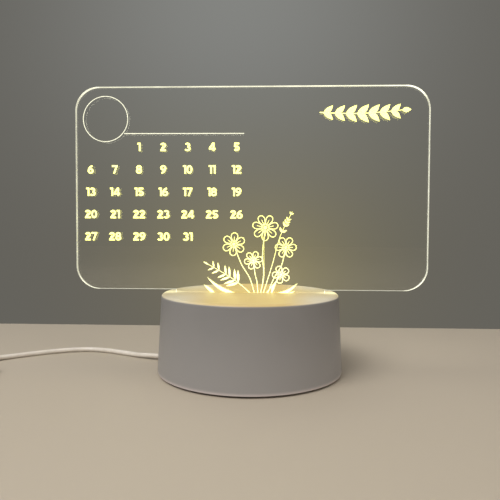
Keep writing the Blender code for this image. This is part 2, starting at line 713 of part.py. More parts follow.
def build_carrier(material):
    """The channel under the slot: floor, walls, end ledges for the tab and two screw ears."""
    low = (-CARRIER_HALF_LENGTH, -CARRIER_HALF_WIDTH, CARRIER_BOTTOM)
    high = (CARRIER_HALF_LENGTH, CARRIER_HALF_WIDTH, CARRIER_TOP)
    carrier = piece("led_carrier", box(low, high), material)
    ledge_start = STRIP_HALF_LENGTH + SEAT_GAP
    hollow_low = (-ledge_start, -CARRIER_INNER_HALF_WIDTH, CARRIER_FLOOR_TOP)
    hollow_high = (ledge_start, CARRIER_INNER_HALF_WIDTH, CARRIER_TOP + CUT_OVERRUN)
    cut(carrier, helper("strip_bed_cutter", box(hollow_low, hollow_high)))
    mouth_low = (-POCKET_HALF_LENGTH, -CARRIER_INNER_HALF_WIDTH, LEDGE_TOP)
    mouth_high = (POCKET_HALF_LENGTH, CARRIER_INNER_HALF_WIDTH, CARRIER_TOP + CUT_OVERRUN)
    cut(carrier, helper("tab_mouth_cutter", box(mouth_low, mouth_high)))
    ear_top = CARRIER_BOTTOM + CARRIER_EAR_THICKNESS
    shape = bmesh.new()
    for x, y, _ in ear_places():
        side = math.copysign(1.0, y)
        start = side * (CARRIER_HALF_WIDTH - JOIN_OVERLAP)
        outline = arc((x, y), CARRIER_EAR_RADIUS, 0.0, side * math.pi, BOSS_STEPS)
        outline += [(x - CARRIER_EAR_RADIUS, start), (x + CARRIER_EAR_RADIUS, start)]
        add_prism(shape, outline, CARRIER_BOTTOM, ear_top)
    join(carrier, helper("ear_formers", shape))
    holes = pilot_cutters(CARRIER_SCREW, ear_places(), CARRIER_BOTTOM, CARRIER_EAR_THICKNESS + CUT_OVERRUN)
    cut(carrier, helper("ear_hole_cutter", holes))
    middle = -STRIP_HALF_LENGTH * WIRE_WINDOW_PLACE_SHARE
    window_low = (middle - WIRE_WINDOW_LENGTH / 2, -WIRE_WINDOW_WIDTH / 2, CARRIER_BOTTOM - CUT_OVERRUN)
    window_high = (middle + WIRE_WINDOW_LENGTH / 2, WIRE_WINDOW_WIDTH / 2, STRIP_BOTTOM)
    cut(carrier, helper("wire_window_cutter", box(window_low, window_high)))
    screws("carrier_screw", CARRIER_SCREW, ear_places(CARRIER_BOTTOM - SEAT_GAP))
    return carrier


def led_shape():
    """A moulded lamp chip with a shallow dish in its top."""
    shape = box((-LED_LENGTH / 2, -LED_WIDTH / 2, 0), (LED_LENGTH / 2, LED_WIDTH / 2, LED_HEIGHT))
    shape.faces.ensure_lookup_table()
    top = max(shape.faces, key=lambda face: face.calc_center_median().z)
    bmesh.ops.inset_region(shape, faces=[top], thickness=LED_RIM)
    bmesh.ops.translate(shape, verts=top.verts, vec=(0, 0, -LED_DISH))
    return shape


def build_strip(board_material, chip_material, resistor_material):
    low = (-STRIP_HALF_LENGTH, -STRIP_WIDTH / 2, STRIP_BOTTOM)
    high = (STRIP_HALF_LENGTH, STRIP_WIDTH / 2, STRIP_TOP)
    piece("led_board", box(low, high), board_material)
    pitch = 2 * STRIP_HALF_LENGTH / LED_COUNT
    for index in range(LED_COUNT):
        x = -STRIP_HALF_LENGTH + (index + 0.5) * pitch
        piece(f"led_{index + 1:02d}", led_shape(), chip_material, location=(x, 0, LED_BOTTOM))
    half_length = RESISTOR_LENGTH / 2
    half_width = RESISTOR_WIDTH / 2
    for number, gap in enumerate(RESISTOR_GAPS, start=1):
        chip = box((-half_length, -half_width, 0), (half_length, half_width, RESISTOR_HEIGHT))
        place_on_strip = (gap * pitch - STRIP_HALF_LENGTH, 0, LED_BOTTOM)
        piece(f"resistor_{number}", chip, resistor_material, location=place_on_strip)


def build_relief(material):
    """The sleeve that holds the lead in the housing's notch, with a collar inside the wall."""
    wall_outside = outer_radius(CORD_EXIT_HEIGHT)
    collar_end = inner_radius(CORD_EXIT_HEIGHT) - SEAT_GAP
    collar_start = collar_end - RELIEF_COLLAR_LENGTH
    inner_end = collar_start - RELIEF_INNER_LENGTH
    sleeve_start = wall_outside + SEAT_GAP
    tip = sleeve_start + RELIEF_SLEEVE_LENGTH
    rounding = RELIEF_TIP_RADIUS - CORD_RADIUS
    profile = [
        (0, inner_end),
        (RELIEF_NECK_RADIUS, inner_end),
        (RELIEF_NECK_RADIUS, collar_start),
        (RELIEF_COLLAR_RADIUS, collar_start),
        (RELIEF_COLLAR_RADIUS, collar_end),
        (RELIEF_NECK_RADIUS, collar_end),
        (RELIEF_NECK_RADIUS, sleeve_start),
        (RELIEF_SLEEVE_RADIUS, sleeve_start),
        (RELIEF_TIP_RADIUS, tip - rounding),
        (CORD_RADIUS, tip),
        (0, tip),
    ]
    location = (0, 0, CORD_EXIT_HEIGHT)
    lying = (0, math.pi / 2, CORD_EXIT_ANGLE)
    piece("strain_relief", revolve(profile, RELIEF_STEPS), material, location=location, rotation=lying)
    return inner_end - SEAT_GAP, tip + SEAT_GAP


def build_clamp(material):
    bottom = clamp_bar_bottom()
    half_length = CLAMP_POST_SPACING / 2 + CLAMP_POST_RADIUS
    half_width = CLAMP_BAR_WIDTH / 2
    middle = radial(CLAMP_CIRCLE_RADIUS, 0.0, bottom)
    outline = rounded_rectangle(2 * half_width, 2 * half_length, half_width, SMALL_CORNER_STEPS + 1)
    turned = (0, 0, CORD_EXIT_ANGLE)
    bar_shape = prism((outline, 0, CLAMP_BAR_THICKNESS))
    bar = piece("cord_clamp", bar_shape, material, location=middle, rotation=turned)
    hole_radius = CLAMP_SCREW["shank_radius"] + SEAT_GAP
    top = bottom + CLAMP_BAR_THICKNESS
    hole = post(hole_radius, SCREW_STEPS, bottom - CUT_OVERRUN, top + CUT_OVERRUN)
    cut(bar, helper("clamp_bar_cutter", copy_to(hole, clamp_post_places())))
    seat = top + SEAT_GAP
    screws("clamp_screw", CLAMP_SCREW, clamp_post_places(seat), points_down=True)


def build_inner_lead(relief_end, cord_material, red_material, black_material):
    """The lead's last stretch inside the base, and its two cores up to the strip."""
    level = COVER_TOP + SEAT_GAP + CORD_RADIUS
    rise = level - CORD_EXIT_HEIGHT
    straight = relief_end - CORD_DIAMETER
    route = [radial(relief_end, 0, CORD_EXIT_HEIGHT), radial(straight, 0, CORD_EXIT_HEIGHT)]
    for inset, share in zip(INNER_CORD_INSETS, INNER_CORD_RISE_SHARES):
        route.append(radial(BASE_BOTTOM_RADIUS - inset, 0, CORD_EXIT_HEIGHT + rise * share))
    inner_end = CLAMP_CIRCLE_RADIUS - CLAMP_BAR_WIDTH
    route += [radial(CLAMP_CIRCLE_RADIUS, 0, level), radial(inner_end, 0, level)]
    tube("cord_lead", smooth_route(route, 2), CORD_DIAMETER, 2, cord_material)
    pad = -STRIP_HALF_LENGTH * WIRE_WINDOW_PLACE_SHARE
    end_height = STRIP_BOTTOM - SEAT_GAP
    for name, side, material in (("lead_red", 1, red_material), ("lead_black", -1, black_material)):
        offset = side * WIRE_SPACING / 2
        narrow = -side * (WIRE_DIAMETER + SEAT_GAP) / 2
        start = radial(inner_end - SEAT_GAP, narrow, level)
        wire = [start, radial(inner_end - SEAT_GAP - WIRE_DIAMETER, narrow, level)]
        for x_share, y_share, rise_share in WIRE_ROUTE_SHARES:
            height = level + (end_height - level) * rise_share
            wire.append(Vector((BASE_BOTTOM_RADIUS * x_share, BASE_BOTTOM_RADIUS * y_share + offset, height)))
        wire.append(Vector((pad, offset, end_height - WIRE_DIAMETER)))
        wire.append(Vector((pad, offset, end_height)))
        tube(name, smooth_route(wire, 2), WIRE_DIAMETER, 1, material)


def switch_along(distance):
    """A place on the switch's axis, measured from where the lead enters it."""
    along = Vector((math.cos(SWITCH_HEADING), math.sin(SWITCH_HEADING), 0))
    return Vector((*SWITCH_ENTRY, SWITCH_HEIGHT / 2)) + along * distance


def switch_length():
    return SWITCH_BODY_LENGTH + 2 * SWITCH_TAPER_LENGTH + 2 * SWITCH_NOSE_LENGTH


def switch_sections(side):
    """Half sections of the case along its length, above (side 1) or below (side -1) the parting line."""
    half_body = SWITCH_BODY_LENGTH / 2
    stations = [(half_body + SWITCH_TAPER_LENGTH + SWITCH_NOSE_LENGTH, 1.0)]
    for step in range(SWITCH_TAPER_STEPS, -1, -1):
        share = step / SWITCH_TAPER_STEPS
        stations.append((half_body + SWITCH_TAPER_LENGTH * share, (1 - math.cos(math.pi * share)) / 2))
    stations = [(-x, blend) for x, blend in stations] + list(reversed(stations))
    sections = []
    for x, blend in stations:
        half_width = (SWITCH_WIDTH + (SWITCH_NOSE_SIZE - SWITCH_WIDTH) * blend) / 2
        reach = (SWITCH_HEIGHT + (SWITCH_NOSE_SIZE - SWITCH_HEIGHT) * blend) / 2
        radius = min(SWITCH_CORNER_RADIUS, half_width, reach - SEAT_GAP)
        corner = (half_width - radius, reach - radius)
        right = arc(corner, radius, 0.0, math.pi / 2, SMALL_CORNER_STEPS)
        left = [(-across, up) for across, up in reversed(right)]
        outline = [(half_width, SEAT_GAP / 2), *right, *left, (-half_width, SEAT_GAP / 2)]
        sections.append([(x, across, side * up) for across, up in outline])
    return sections


def switch_boss_places(height=0.0):
    return [(-SWITCH_BOSS_PLACE, 0, height), (SWITCH_BOSS_PLACE, 0, height)]


def build_switch_case(carrier, material):
    """The switch's two moulded halves. Their parting line is at half height."""
    half_height = SWITCH_HEIGHT / 2
    inner_length = SWITCH_BODY_LENGTH / 2
    inner_width = SWITCH_WIDTH / 2 - SWITCH_WALL
    floor = SWITCH_FLOOR - half_height
    roof = half_height - SWITCH_WALL
    lower = piece("switch_case_bottom", loft(switch_sections(-1)), material, carrier)
    hollow = box((-inner_length, -inner_width, floor), (inner_length, inner_width, CUT_OVERRUN))
    cut(lower, helper("lower_hollow_cutter", hollow, carrier))
    pivot = ROCKER_PIVOT_HEIGHT - half_height
    cradle_start = ROCKER_WIDTH / 2 + SEAT_GAP
    cradle_end = cradle_start + CRADLE_THICKNESS
    shape = bmesh.new()
    for side in (-1, 1):
        near, far = sorted((side * cradle_start, side * cradle_end))
        outline = rectangle((-CRADLE_LENGTH / 2, near), (CRADLE_LENGTH / 2, far))
        add_prism(shape, outline, floor - JOIN_OVERLAP, pivot)
    join(lower, helper("cradle_formers", shape, carrier))
    groove_end = cradle_end + CUT_OVERRUN
    groove = post(ROCKER_PIN_RADIUS + SEAT_GAP, SCREW_STEPS, -groove_end, groove_end)
    across = (math.pi / 2, 0, 0)
    cut(lower, helper("cradle_groove_cutter", groove, carrier, (0, 0, pivot), across))
    sink = SWITCH_SCREW["head"] + SEAT_GAP
    head_radius = SWITCH_SCREW["head_radius"] + SEAT_GAP
    head_hole = post(head_radius, SCREW_STEPS, -half_height - CUT_OVERRUN, sink - half_height)
    cut(lower, helper("switch_sink_cutter", copy_to(head_hole, switch_boss_places()), carrier))
    through = pilot_cutters(SWITCH_SCREW, switch_boss_places(), -half_height, SWITCH_FLOOR + CUT_OVERRUN)
    cut(lower, helper("switch_hole_cutter", through, carrier))

    upper = piece("switch_case_top", loft(switch_sections(1)), material, carrier)
    hollow = box((-inner_length, -inner_width, -CUT_OVERRUN), (inner_length, inner_width, roof))
    cut(upper, helper("upper_hollow_cutter", hollow, carrier))
    window_length = ROCKER_LENGTH / 2 + ROCKER_WINDOW_END_GAP
    window_width = ROCKER_WIDTH / 2 + SEAT_GAP
    window = box((-window_length, -window_width, 0), (window_length, window_width, half_height + CUT_OVERRUN))
    cut(upper, helper("rocker_window_cutter", window, carrier))
    boss_bottom = floor + SEAT_GAP
    boss = post(SWITCH_BOSS_RADIUS, SCREW_STEPS, boss_bottom, roof + JOIN_OVERLAP / 2)
    join(upper, helper("switch_boss_formers", copy_to(boss, switch_boss_places()), carrier))
    hole_depth = SWITCH_SCREW["shank"]
    pilots = pilot_cutters(SWITCH_SCREW, switch_boss_places(), boss_bottom, hole_depth)
    cut(upper, helper("switch_pilot_cutter", pilots, carrier))
    seat = sink - half_height - SEAT_GAP
    screws("switch_screw", SWITCH_SCREW, switch_boss_places(seat), carrier)


def build_rocker(carrier, material):
    """The rocker, with its pins on the axis. At rest it is tipped to the side that lights the board."""
    half = ROCKER_LENGTH / 2
    dip = ROCKER_RISE - ROCKER_DIP
    skirt = ROCKER_RISE / 4
    foot = ROCKER_PIN_RADIUS
    profile = [(half, skirt), (half, ROCKER_RISE), (0, dip), (-half, ROCKER_RISE), (-half, skirt)]
    profile += [(-foot, -ROCKER_DROP), (foot, -ROCKER_DROP)]
    half_width = ROCKER_WIDTH / 2
    sections = [[(x, y, z) for x, z in profile] for y in (-half_width, half_width)]
    pivot = ROCKER_PIVOT_HEIGHT - SWITCH_HEIGHT / 2
    tipped = (0, ROCKER_TILT, 0)
    rocker = piece("switch_rocker", loft(sections), material, carrier, (0, 0, pivot), tipped)
    reach = half_width + ROCKER_PIN_LENGTH
    pin = post(ROCKER_PIN_RADIUS, SCREW_STEPS, -reach, reach)
    turn = Matrix.Rotation(math.pi / 2, 4, "X")
    bmesh.ops.transform(pin, matrix=turn, verts=pin.verts)
    join(rocker, helper("rocker_pin_former", pin, rocker))


def build_switch_contacts(carrier, material):
    """Two bent terminals on the case's floor, under the rocker's two ends."""
    floor = SWITCH_FLOOR - SWITCH_HEIGHT / 2 + SEAT_GAP
    near = CONTACT_PLACE - CONTACT_LENGTH / 2
    far = CONTACT_PLACE + CONTACT_LENGTH / 2
    inside = near + CONTACT_THICKNESS
    leaf = [(near, 0), (far, 0), (far, CONTACT_THICKNESS), (inside, CONTACT_THICKNESS)]
    leaf += [(inside, CONTACT_HEIGHT), (near, CONTACT_HEIGHT)]
    for number, side in enumerate((-1, 1), start=1):
        sections = [[(side * x, y, z) for x, z in leaf] for y in (-CONTACT_WIDTH / 2, CONTACT_WIDTH / 2)]
        piece(f"switch_contact_{number}", loft(sections), material, carrier, (0, 0, floor))


def build_switch(case_material, rocker_material, contact_material):
    middle = switch_along(switch_length() / 2)
    carrier = place("switch_place", middle, (0, 0, SWITCH_HEADING))
    build_switch_case(carrier, case_material)
    build_rocker(carrier, rocker_material)
    build_switch_contacts(carrier, contact_material)


def coil_angle_span():
    return COIL_END_ANGLE - COIL_START_ANGLE + COIL_WHOLE_TURNS * math.tau


def coil_level():
    """Height of the lower layer's centre line: the coil lies on the tie that goes under it."""
    return TIE_THICKNESS + SEAT_GAP + CORD_RADIUS


def coil_point(angle, radius, height):
    x, y = COIL_CENTRE
    return Vector((x + radius * math.cos(angle), y + radius * math.sin(angle), height))


def coil_points():
    """Spirals in on the lower layer, climbs in the half turn where it reverses, and spirals out above."""
    span = coil_angle_span()
    reversal = span / 2
    climb_start = reversal - math.pi / 2
    count = round(span / math.tau * COIL_POINTS_PER_TURN)
    points = []
    for step in range(count + 1):
        turned = span * step / count
        inward = min(turned, span - turned)
        share = min(max((turned - climb_start) / math.pi, 0.0), 1.0)
        height = coil_level() + COIL_PITCH * (1 - math.cos(math.pi * share)) / 2
        radius = COIL_OUTER_TURN_RADIUS - COIL_PITCH * inward / math.tau
        points.append(coil_point(COIL_START_ANGLE + turned, radius, height))
    return points


def straight_end(points):
    """A point one diameter past the last one, so that the tube's end runs straight."""
    return points[-1] + (points[-1] - points[-2]).normalized() * CORD_DIAMETER


def least_coil_gap(points):
    """Least distance between the skins of two stretches more than a quarter turn apart."""
    apart = COIL_POINTS_PER_TURN // 4
    gaps = []
    for index, point in enumerate(points):
        for start, end in zip(points[index + apart :], points[index + apart + 1 :]):
            along = end - start
            share = min(max((point - start).dot(along) / along.length_squared, 0.0), 1.0)
            gaps.append((start + along * share - point).length - CORD_DIAMETER)
    return min(gaps)


def build_coil(material, tie_material):
    points = coil_points()
    before = straight_end([points[1], points[0]])
    after = straight_end(points)
    whole = [before, *points, after]
    tube("cord_coil", whole, CORD_DIAMETER, 1, material)
    print(f"least gap between the coil's turns: {least_coil_gap(points):.6f} m")
    turns = coil_angle_span() / math.tau / 2
    inner = COIL_OUTER_TURN_RADIUS - COIL_PITCH * turns - CORD_RADIUS - SEAT_GAP
    outer = COIL_OUTER_TURN_RADIUS + CORD_RADIUS + SEAT_GAP
    upper = coil_level() + COIL_PITCH + CORD_RADIUS + SEAT_GAP
    middle = (inner + outer) / 2
    inside = (outer - inner, upper - TIE_THICKNESS)
    radius = CORD_RADIUS
    outside = (inside[0] + 2 * TIE_THICKNESS, inside[1] + 2 * TIE_THICKNESS)
    height = TIE_THICKNESS + inside[1] / 2
    rim = rounded_rectangle(*outside, radius + TIE_THICKNESS, SMALL_CORNER_STEPS)
    band = prism((rim, -TIE_WIDTH / 2, TIE_WIDTH / 2))
    hollow = prism((rounded_rectangle(*inside, radius, SMALL_CORNER_STEPS), -TIE_WIDTH, TIE_WIDTH))
    spot = coil_point(TIE_ANGLE, middle, height)
    turned = (math.pi / 2, 0, TIE_ANGLE)
    tie = piece("cord_tie", band, tie_material, location=spot, rotation=turned)
    cut(tie, helper("tie_cutter", hollow, location=spot, rotation=turned))
    return before, after


def build_free_cord(relief_tip, coil_start, coil_end, material):
    """The lead's uncoiled stretches: to the switch, on to the coil, and from the coil to the plug."""
    first = radial(relief_tip, 0, CORD_EXIT_HEIGHT)
    second = radial(relief_tip + CORD_DIAMETER, 0, CORD_EXIT_HEIGHT)
    entry = switch_along(-SEAT_GAP)
    lead_in = switch_along(-SEAT_GAP - CORD_DIAMETER)
    route = [first, second, *CORD_ROUTE, lead_in, entry]
    tube("cord_run", smooth_route(route, 2), CORD_DIAMETER, 2, material)

    leaving = switch_along(switch_length() + SEAT_GAP)
    straight = switch_along(switch_length() + SEAT_GAP + CORD_DIAMETER)
    start, towards = coil_start
    link = [leaving, straight, start + towards * CORD_DIAMETER, start + towards * SEAT_GAP]
    tube("cord_link", smooth_route(link, 3), CORD_DIAMETER, 2, material)

    end, onward = coil_end
    plug_start = end + onward * PLUG_TAIL_LENGTH
    plug_start.z = PLUG_HEIGHT / 2
    tail = [
        end + onward * SEAT_GAP,
        end + onward * CORD_DIAMETER,
        plug_start - onward * CORD_DIAMETER,
        plug_start - onward * SEAT_GAP,
    ]
    tube("cord_tail", smooth_route(tail, 3), CORD_DIAMETER, 2, material)
    return plug_start, math.atan2(onward.y, onward.x)


def plug_section(x, width, height, radius):
    outline = rounded_rectangle(width, height, radius, SMALL_CORNER_STEPS)
    return [(x, across, up) for across, up in outline]


def build_plug(start, heading, body_material, metal_material, tongue_material, contact_material):
    """The plug, with the lead's end at its rear and its metal shell in front."""
    carrier = place("plug_place", start, (0, 0, heading))
    small = PLUG_RELIEF_DIAMETER
    rounding = PLUG_CORNER_RADIUS / 2
    front = PLUG_RELIEF_LENGTH + PLUG_BODY_LENGTH
    slim_width = PLUG_WIDTH - rounding
    slim_height = PLUG_HEIGHT - rounding
    shoulder = PLUG_RELIEF_LENGTH
    sections = [
        plug_section(0, small, small, small / 2),
        plug_section(shoulder, small + rounding / 2, small + rounding / 2, (small + rounding / 2) / 2),
        plug_section(shoulder + rounding, slim_width, slim_height, PLUG_CORNER_RADIUS),
        plug_section(shoulder + 2 * rounding, PLUG_WIDTH, PLUG_HEIGHT, PLUG_CORNER_RADIUS),
        plug_section(front - rounding / 2, PLUG_WIDTH, PLUG_HEIGHT, PLUG_CORNER_RADIUS),
        plug_section(front, PLUG_WIDTH - rounding, PLUG_HEIGHT - rounding, PLUG_CORNER_RADIUS - rounding / 2),
    ]
    piece("usb_plug_body", loft(sections), body_material, carrier)

    shell_start = front + SEAT_GAP
    shell_end = shell_start + PLUG_SHELL_LENGTH
    half_width = PLUG_SHELL_WIDTH / 2
    half_height = PLUG_SHELL_HEIGHT / 2
    low = (shell_start, -half_width, -half_height)
    high = (shell_end, half_width, half_height)
    shell = piece("usb_plug_shell", box(low, high), metal_material, carrier)
    inner_width = half_width - PLUG_SHELL_WALL
    inner_height = half_height - PLUG_SHELL_WALL
    low = (shell_start - CUT_OVERRUN, -inner_width, -inner_height)
    high = (shell_end + CUT_OVERRUN, inner_width, inner_height)
    cut(shell, helper("plug_shell_cutter", box(low, high), carrier))

    tongue_low = SEAT_GAP - inner_height
    tongue_top = tongue_low + PLUG_TONGUE_THICKNESS
    tongue_width = inner_width - SEAT_GAP
    tongue_end = shell_end - PLUG_TONGUE_SETBACK
    tongue = box((shell_start, -tongue_width, tongue_low), (tongue_end, tongue_width, tongue_top))
    piece("usb_plug_tongue", tongue, tongue_material, carrier)

    contact_low = tongue_top + SEAT_GAP
    contact_high = contact_low + PLUG_CONTACT_THICKNESS
    contact_end = tongue_end - SEAT_GAP
    contact_start = contact_end - PLUG_CONTACT_LENGTH
    half = PLUG_CONTACT_WIDTH / 2
    middle = (PLUG_CONTACT_COUNT - 1) / 2
    for index in range(PLUG_CONTACT_COUNT):
        y = (index - middle) * PLUG_CONTACT_PITCH
        low = (contact_start, y - half, contact_low)
        high = (contact_end, y + half, contact_high)
        piece(f"usb_contact_{index + 1}", box(low, high), contact_material, carrier)


clear_scene()

STEEL = make_material("screw_steel", (0.62, 0.62, 0.62), 0.32, metallic=1.0)
SHELL_WHITE = make_material("moulded_white", (0.78, 0.76, 0.75), 0.42)
CLEAR = make_material("clear_acrylic", (0.97, 0.98, 0.95), 0.03, transmission=1.0)
RUBBER = make_material("foot_rubber", (0.05, 0.05, 0.05), 0.85)
STRIP_WHITE = make_material("strip_white", (0.85, 0.86, 0.84), 0.45)
CHIP_YELLOW = make_material("chip_phosphor", (0.95, 0.80, 0.30), 0.40)
RESISTOR_BLACK = make_material("resistor_black", (0.03, 0.03, 0.03), 0.50)
CORD_WHITE = make_material("cord_white", (0.80, 0.79, 0.77), 0.50)
CORE_RED = make_material("core_red", (0.60, 0.04, 0.03), 0.45)
CORE_BLACK = make_material("core_black", (0.02, 0.02, 0.02), 0.45)
CONTACT_BRASS = make_material("contact_brass", (0.80, 0.62, 0.30), 0.28, metallic=1.0)
PLUG_STEEL = make_material("plug_steel", (0.70, 0.70, 0.70), 0.22, metallic=1.0)

build_base_shell(SHELL_WHITE)
build_base_cover(SHELL_WHITE)
build_feet(RUBBER)
build_board(CLEAR)
build_carrier(SHELL_WHITE)
build_strip(STRIP_WHITE, CHIP_YELLOW, RESISTOR_BLACK)
lead_inside, lead_outside = build_relief(CORD_WHITE)
build_clamp(SHELL_WHITE)
build_inner_lead(lead_inside, CORD_WHITE, CORE_RED, CORE_BLACK)
build_switch(SHELL_WHITE, SHELL_WHITE, CONTACT_BRASS)
coil_before, coil_after = build_coil(CORD_WHITE, RESISTOR_BLACK)
start_tangent = (coil_before - coil_points()[0]).normalized()
end_tangent = (coil_after - coil_points()[-1]).normalized()
plug_at, plug_heading = build_free_cord(
    lead_outside, (coil_before, start_tangent), (coil_after, end_tangent), CORD_WHITE
)
build_plug(plug_at, plug_heading, CORD_WHITE, PLUG_STEEL, SHELL_WHITE, CONTACT_BRASS)
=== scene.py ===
"""LED writing board: finishes, engraving, lead, stage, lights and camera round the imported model.

Metres, +Z up, in the model's own frame: the board's engraved face looks along -Y.
"""

import math

import bmesh
import bpy
from mathutils import Matrix, Vector


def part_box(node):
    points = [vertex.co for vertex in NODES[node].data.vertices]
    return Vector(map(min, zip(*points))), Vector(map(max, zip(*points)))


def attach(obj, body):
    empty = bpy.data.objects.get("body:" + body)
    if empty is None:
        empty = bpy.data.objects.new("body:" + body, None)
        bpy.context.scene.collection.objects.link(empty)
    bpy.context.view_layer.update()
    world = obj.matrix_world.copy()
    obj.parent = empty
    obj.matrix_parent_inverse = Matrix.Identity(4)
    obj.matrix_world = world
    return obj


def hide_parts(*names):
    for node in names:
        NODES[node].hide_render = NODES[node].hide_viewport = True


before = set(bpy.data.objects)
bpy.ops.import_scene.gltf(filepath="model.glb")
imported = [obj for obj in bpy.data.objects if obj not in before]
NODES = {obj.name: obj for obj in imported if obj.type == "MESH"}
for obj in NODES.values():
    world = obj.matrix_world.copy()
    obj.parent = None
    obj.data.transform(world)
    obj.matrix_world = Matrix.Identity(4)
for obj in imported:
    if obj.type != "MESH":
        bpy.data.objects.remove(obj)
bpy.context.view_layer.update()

# The model's own places
BOARD_LOW, BOARD_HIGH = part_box("acrylic_board")
SHELL_LOW, SHELL_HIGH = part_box("base_shell")
BASE_TOP = SHELL_HIGH.z
BASE_RADIUS = SHELL_HIGH.x

# Board
SHEET_CORNER_RADIUS = 0.0160
SHEET_TAB_HALF_WIDTH = 0.0510
SHEET_TAB_CORNER = 0.0015
SHEET_FOOT = 0.0550
SHEET_ARRIS = 0.00012
SHEET_ARC_STEPS = 28
SHEET_CORNER_STEPS = 6
MITRE_LIMIT = 0.3

# Engraving: a thin layer just under the front face
ENGRAVING_DEPTH = 0.00004
ENGRAVING_THICKNESS = 0.00010
STROKE_MITRE_LIMIT = 0.5
ROUND_STEPS = 20

# Lead
LEAD_DIAMETER = 0.0035
LEAD_BEVEL_RESOLUTION = 10
EASING_STEP = 0.001
EASING_PASSES = 14
# Points at each end of the lead to the plug that are eased; the coil's turns are even as they are
EASED_END_POINTS = 52
ROUTE_STEPS = 6
COIL_ROUTE_STEPS = 4
EXIT_ANGLE = math.radians(163.5)
EXIT_HEIGHT = 0.0030
EXIT_DISTANCE = 0.0708
CLEARANCE = 0.0003
# Inside the housing, from the relief to the clamp: distance from the axis and height
INNER_LEAD_ROUTE = [
    (0.0558, 0.00300),
    (0.0523, 0.00300),
    (0.0500, 0.00404),
    (0.0465, 0.00548),
    (0.0430, 0.00638),
    (0.0385, 0.00645),
    (0.0325, 0.00645),
]
LEAD_ROUTE = [
    (-0.0785, 0.0240, 0.00245),
    (-0.0858, 0.0275, 0.0019),
    (-0.0930, 0.0313, 0.00175),
    (-0.1011, 0.0352, 0.00175),
    (-0.1102, 0.0392, 0.00175),
    (-0.1190, 0.0420, 0.00175),
    (-0.1274, 0.0432, 0.00175),
    (-0.1352, 0.0424, 0.00175),
    (-0.1422, 0.0402, 0.00175),
    (-0.1489, 0.0374, 0.00175),
    (-0.1552, 0.0340, 0.00175),
    (-0.1613, 0.0301, 0.00175),
    (-0.1671, 0.0261, 0.00175),
    (-0.1729, 0.0220, 0.00175),
    (-0.1782, 0.0176, 0.00180),
    (-0.1830, 0.0128, 0.00215),
    (-0.1873, 0.0075, 0.0032),
    (-0.1910, 0.0016, 0.0049),
]

# Switch in the lead
SWITCH_ENTRY = Vector((-0.1984, -0.0115, 0.0060))
SWITCH_HEADING = math.radians(245.0)
SWITCH_LENGTH = 0.0540

# Coil that puts the rest of the lead away, and the plug at its end
COIL_CENTRE = Vector((-0.1985, -0.0780, 0.0))
COIL_RADIUS = 0.0255
COIL_PITCH = 0.0040
COIL_START = math.radians(180.0)
COIL_END = math.radians(370.0)
COIL_WHOLE_TURNS = 8
COIL_LEVEL = 0.00265
COIL_POINTS_PER_TURN = 36
PLUG_TAIL = 0.0090
PLUG_LEVEL = 0.0039

# Camera, as measured from the photograph
FRAME_PIXELS = 500
FOCAL_PIXELS = 492.854
SENSOR_WIDTH = 36.0
CAMERA_PLACE = Vector((0.012045, -0.337432, 0.093927))
CAMERA_PITCH = math.radians(1.988)
CAMERA_YAW = math.radians(-2.077)
CAMERA_ROLL = math.radians(0.241)
CAMERA_NEAR = 0.01

# Stage: a pale floor, and a grey wall with a warm glow behind the lamp and a soft pool of light above
FLOOR_COLOUR = (0.43, 0.375, 0.30, 1.0)
FLOOR_ROUGHNESS = 0.6
FLOOR_HALF_SIZE = 3.0
WALL_DISTANCE = 0.155
WALL_HEIGHT = 3.0
WALL_LIGHT = (0.124, 0.120, 0.107, 1.0)
WALL_GLOW = (0.220, 0.190, 0.115, 1.0)
WALL_GLOW_FADE = 11.0
WALL_POOL = (0.105, 0.112, 0.112, 0.0)
WALL_POOL_MIDDLE = -0.020
WALL_POOL_SPREAD = 0.135
WALL_POOL_SPAN = (0.05, 0.33)
WORLD_COLOUR = (1.0, 0.985, 0.96, 1.0)
WORLD_STRENGTH = 0.52
# Each lamp: its place, the place that it faces, size, power and colour
LAMPS = {
    "key": ((-0.45, -0.55, 0.85), (0, 0, 0.05), 0.7, 9.0, (1.0, 0.98, 0.95)),
    "fill": ((0.9, -0.5, 0.5), (0, 0, 0.08), 0.8, 2.0, (1.0, 0.88, 0.76)),
}

# Shading of faceted surfaces
WELD_DISTANCE = 0.000001
SHARP_ANGLE = math.radians(35.0)


# Shader helpers


def srgb(red, green, blue):
    """A colour given in display values from 0 to 255, as linear light."""

    def linear(value):
        value /= 255
        return value / 12.92 if value <= 0.04045 else ((value + 0.055) / 1.055) ** 2.4

    return (linear(red), linear(green), linear(blue), 1.0)


class Nodes:
    """Short calls for the nodes of a tree."""

    prefix = ""

    def __init__(self, tree):
        self.tree = tree

    def feed(self, socket, value):
        if isinstance(value, bpy.types.NodeSocket):
            self.tree.links.new(value, socket)
        else:
            socket.default_value = value

    def node(self, kind, inputs=None, **settings):
        made = self.tree.nodes.new(self.prefix + kind)
        for name, value in settings.items():
            setattr(made, name, value)
        for name, value in (inputs or {}).items():
            self.feed(made.inputs[name], value)
        return made


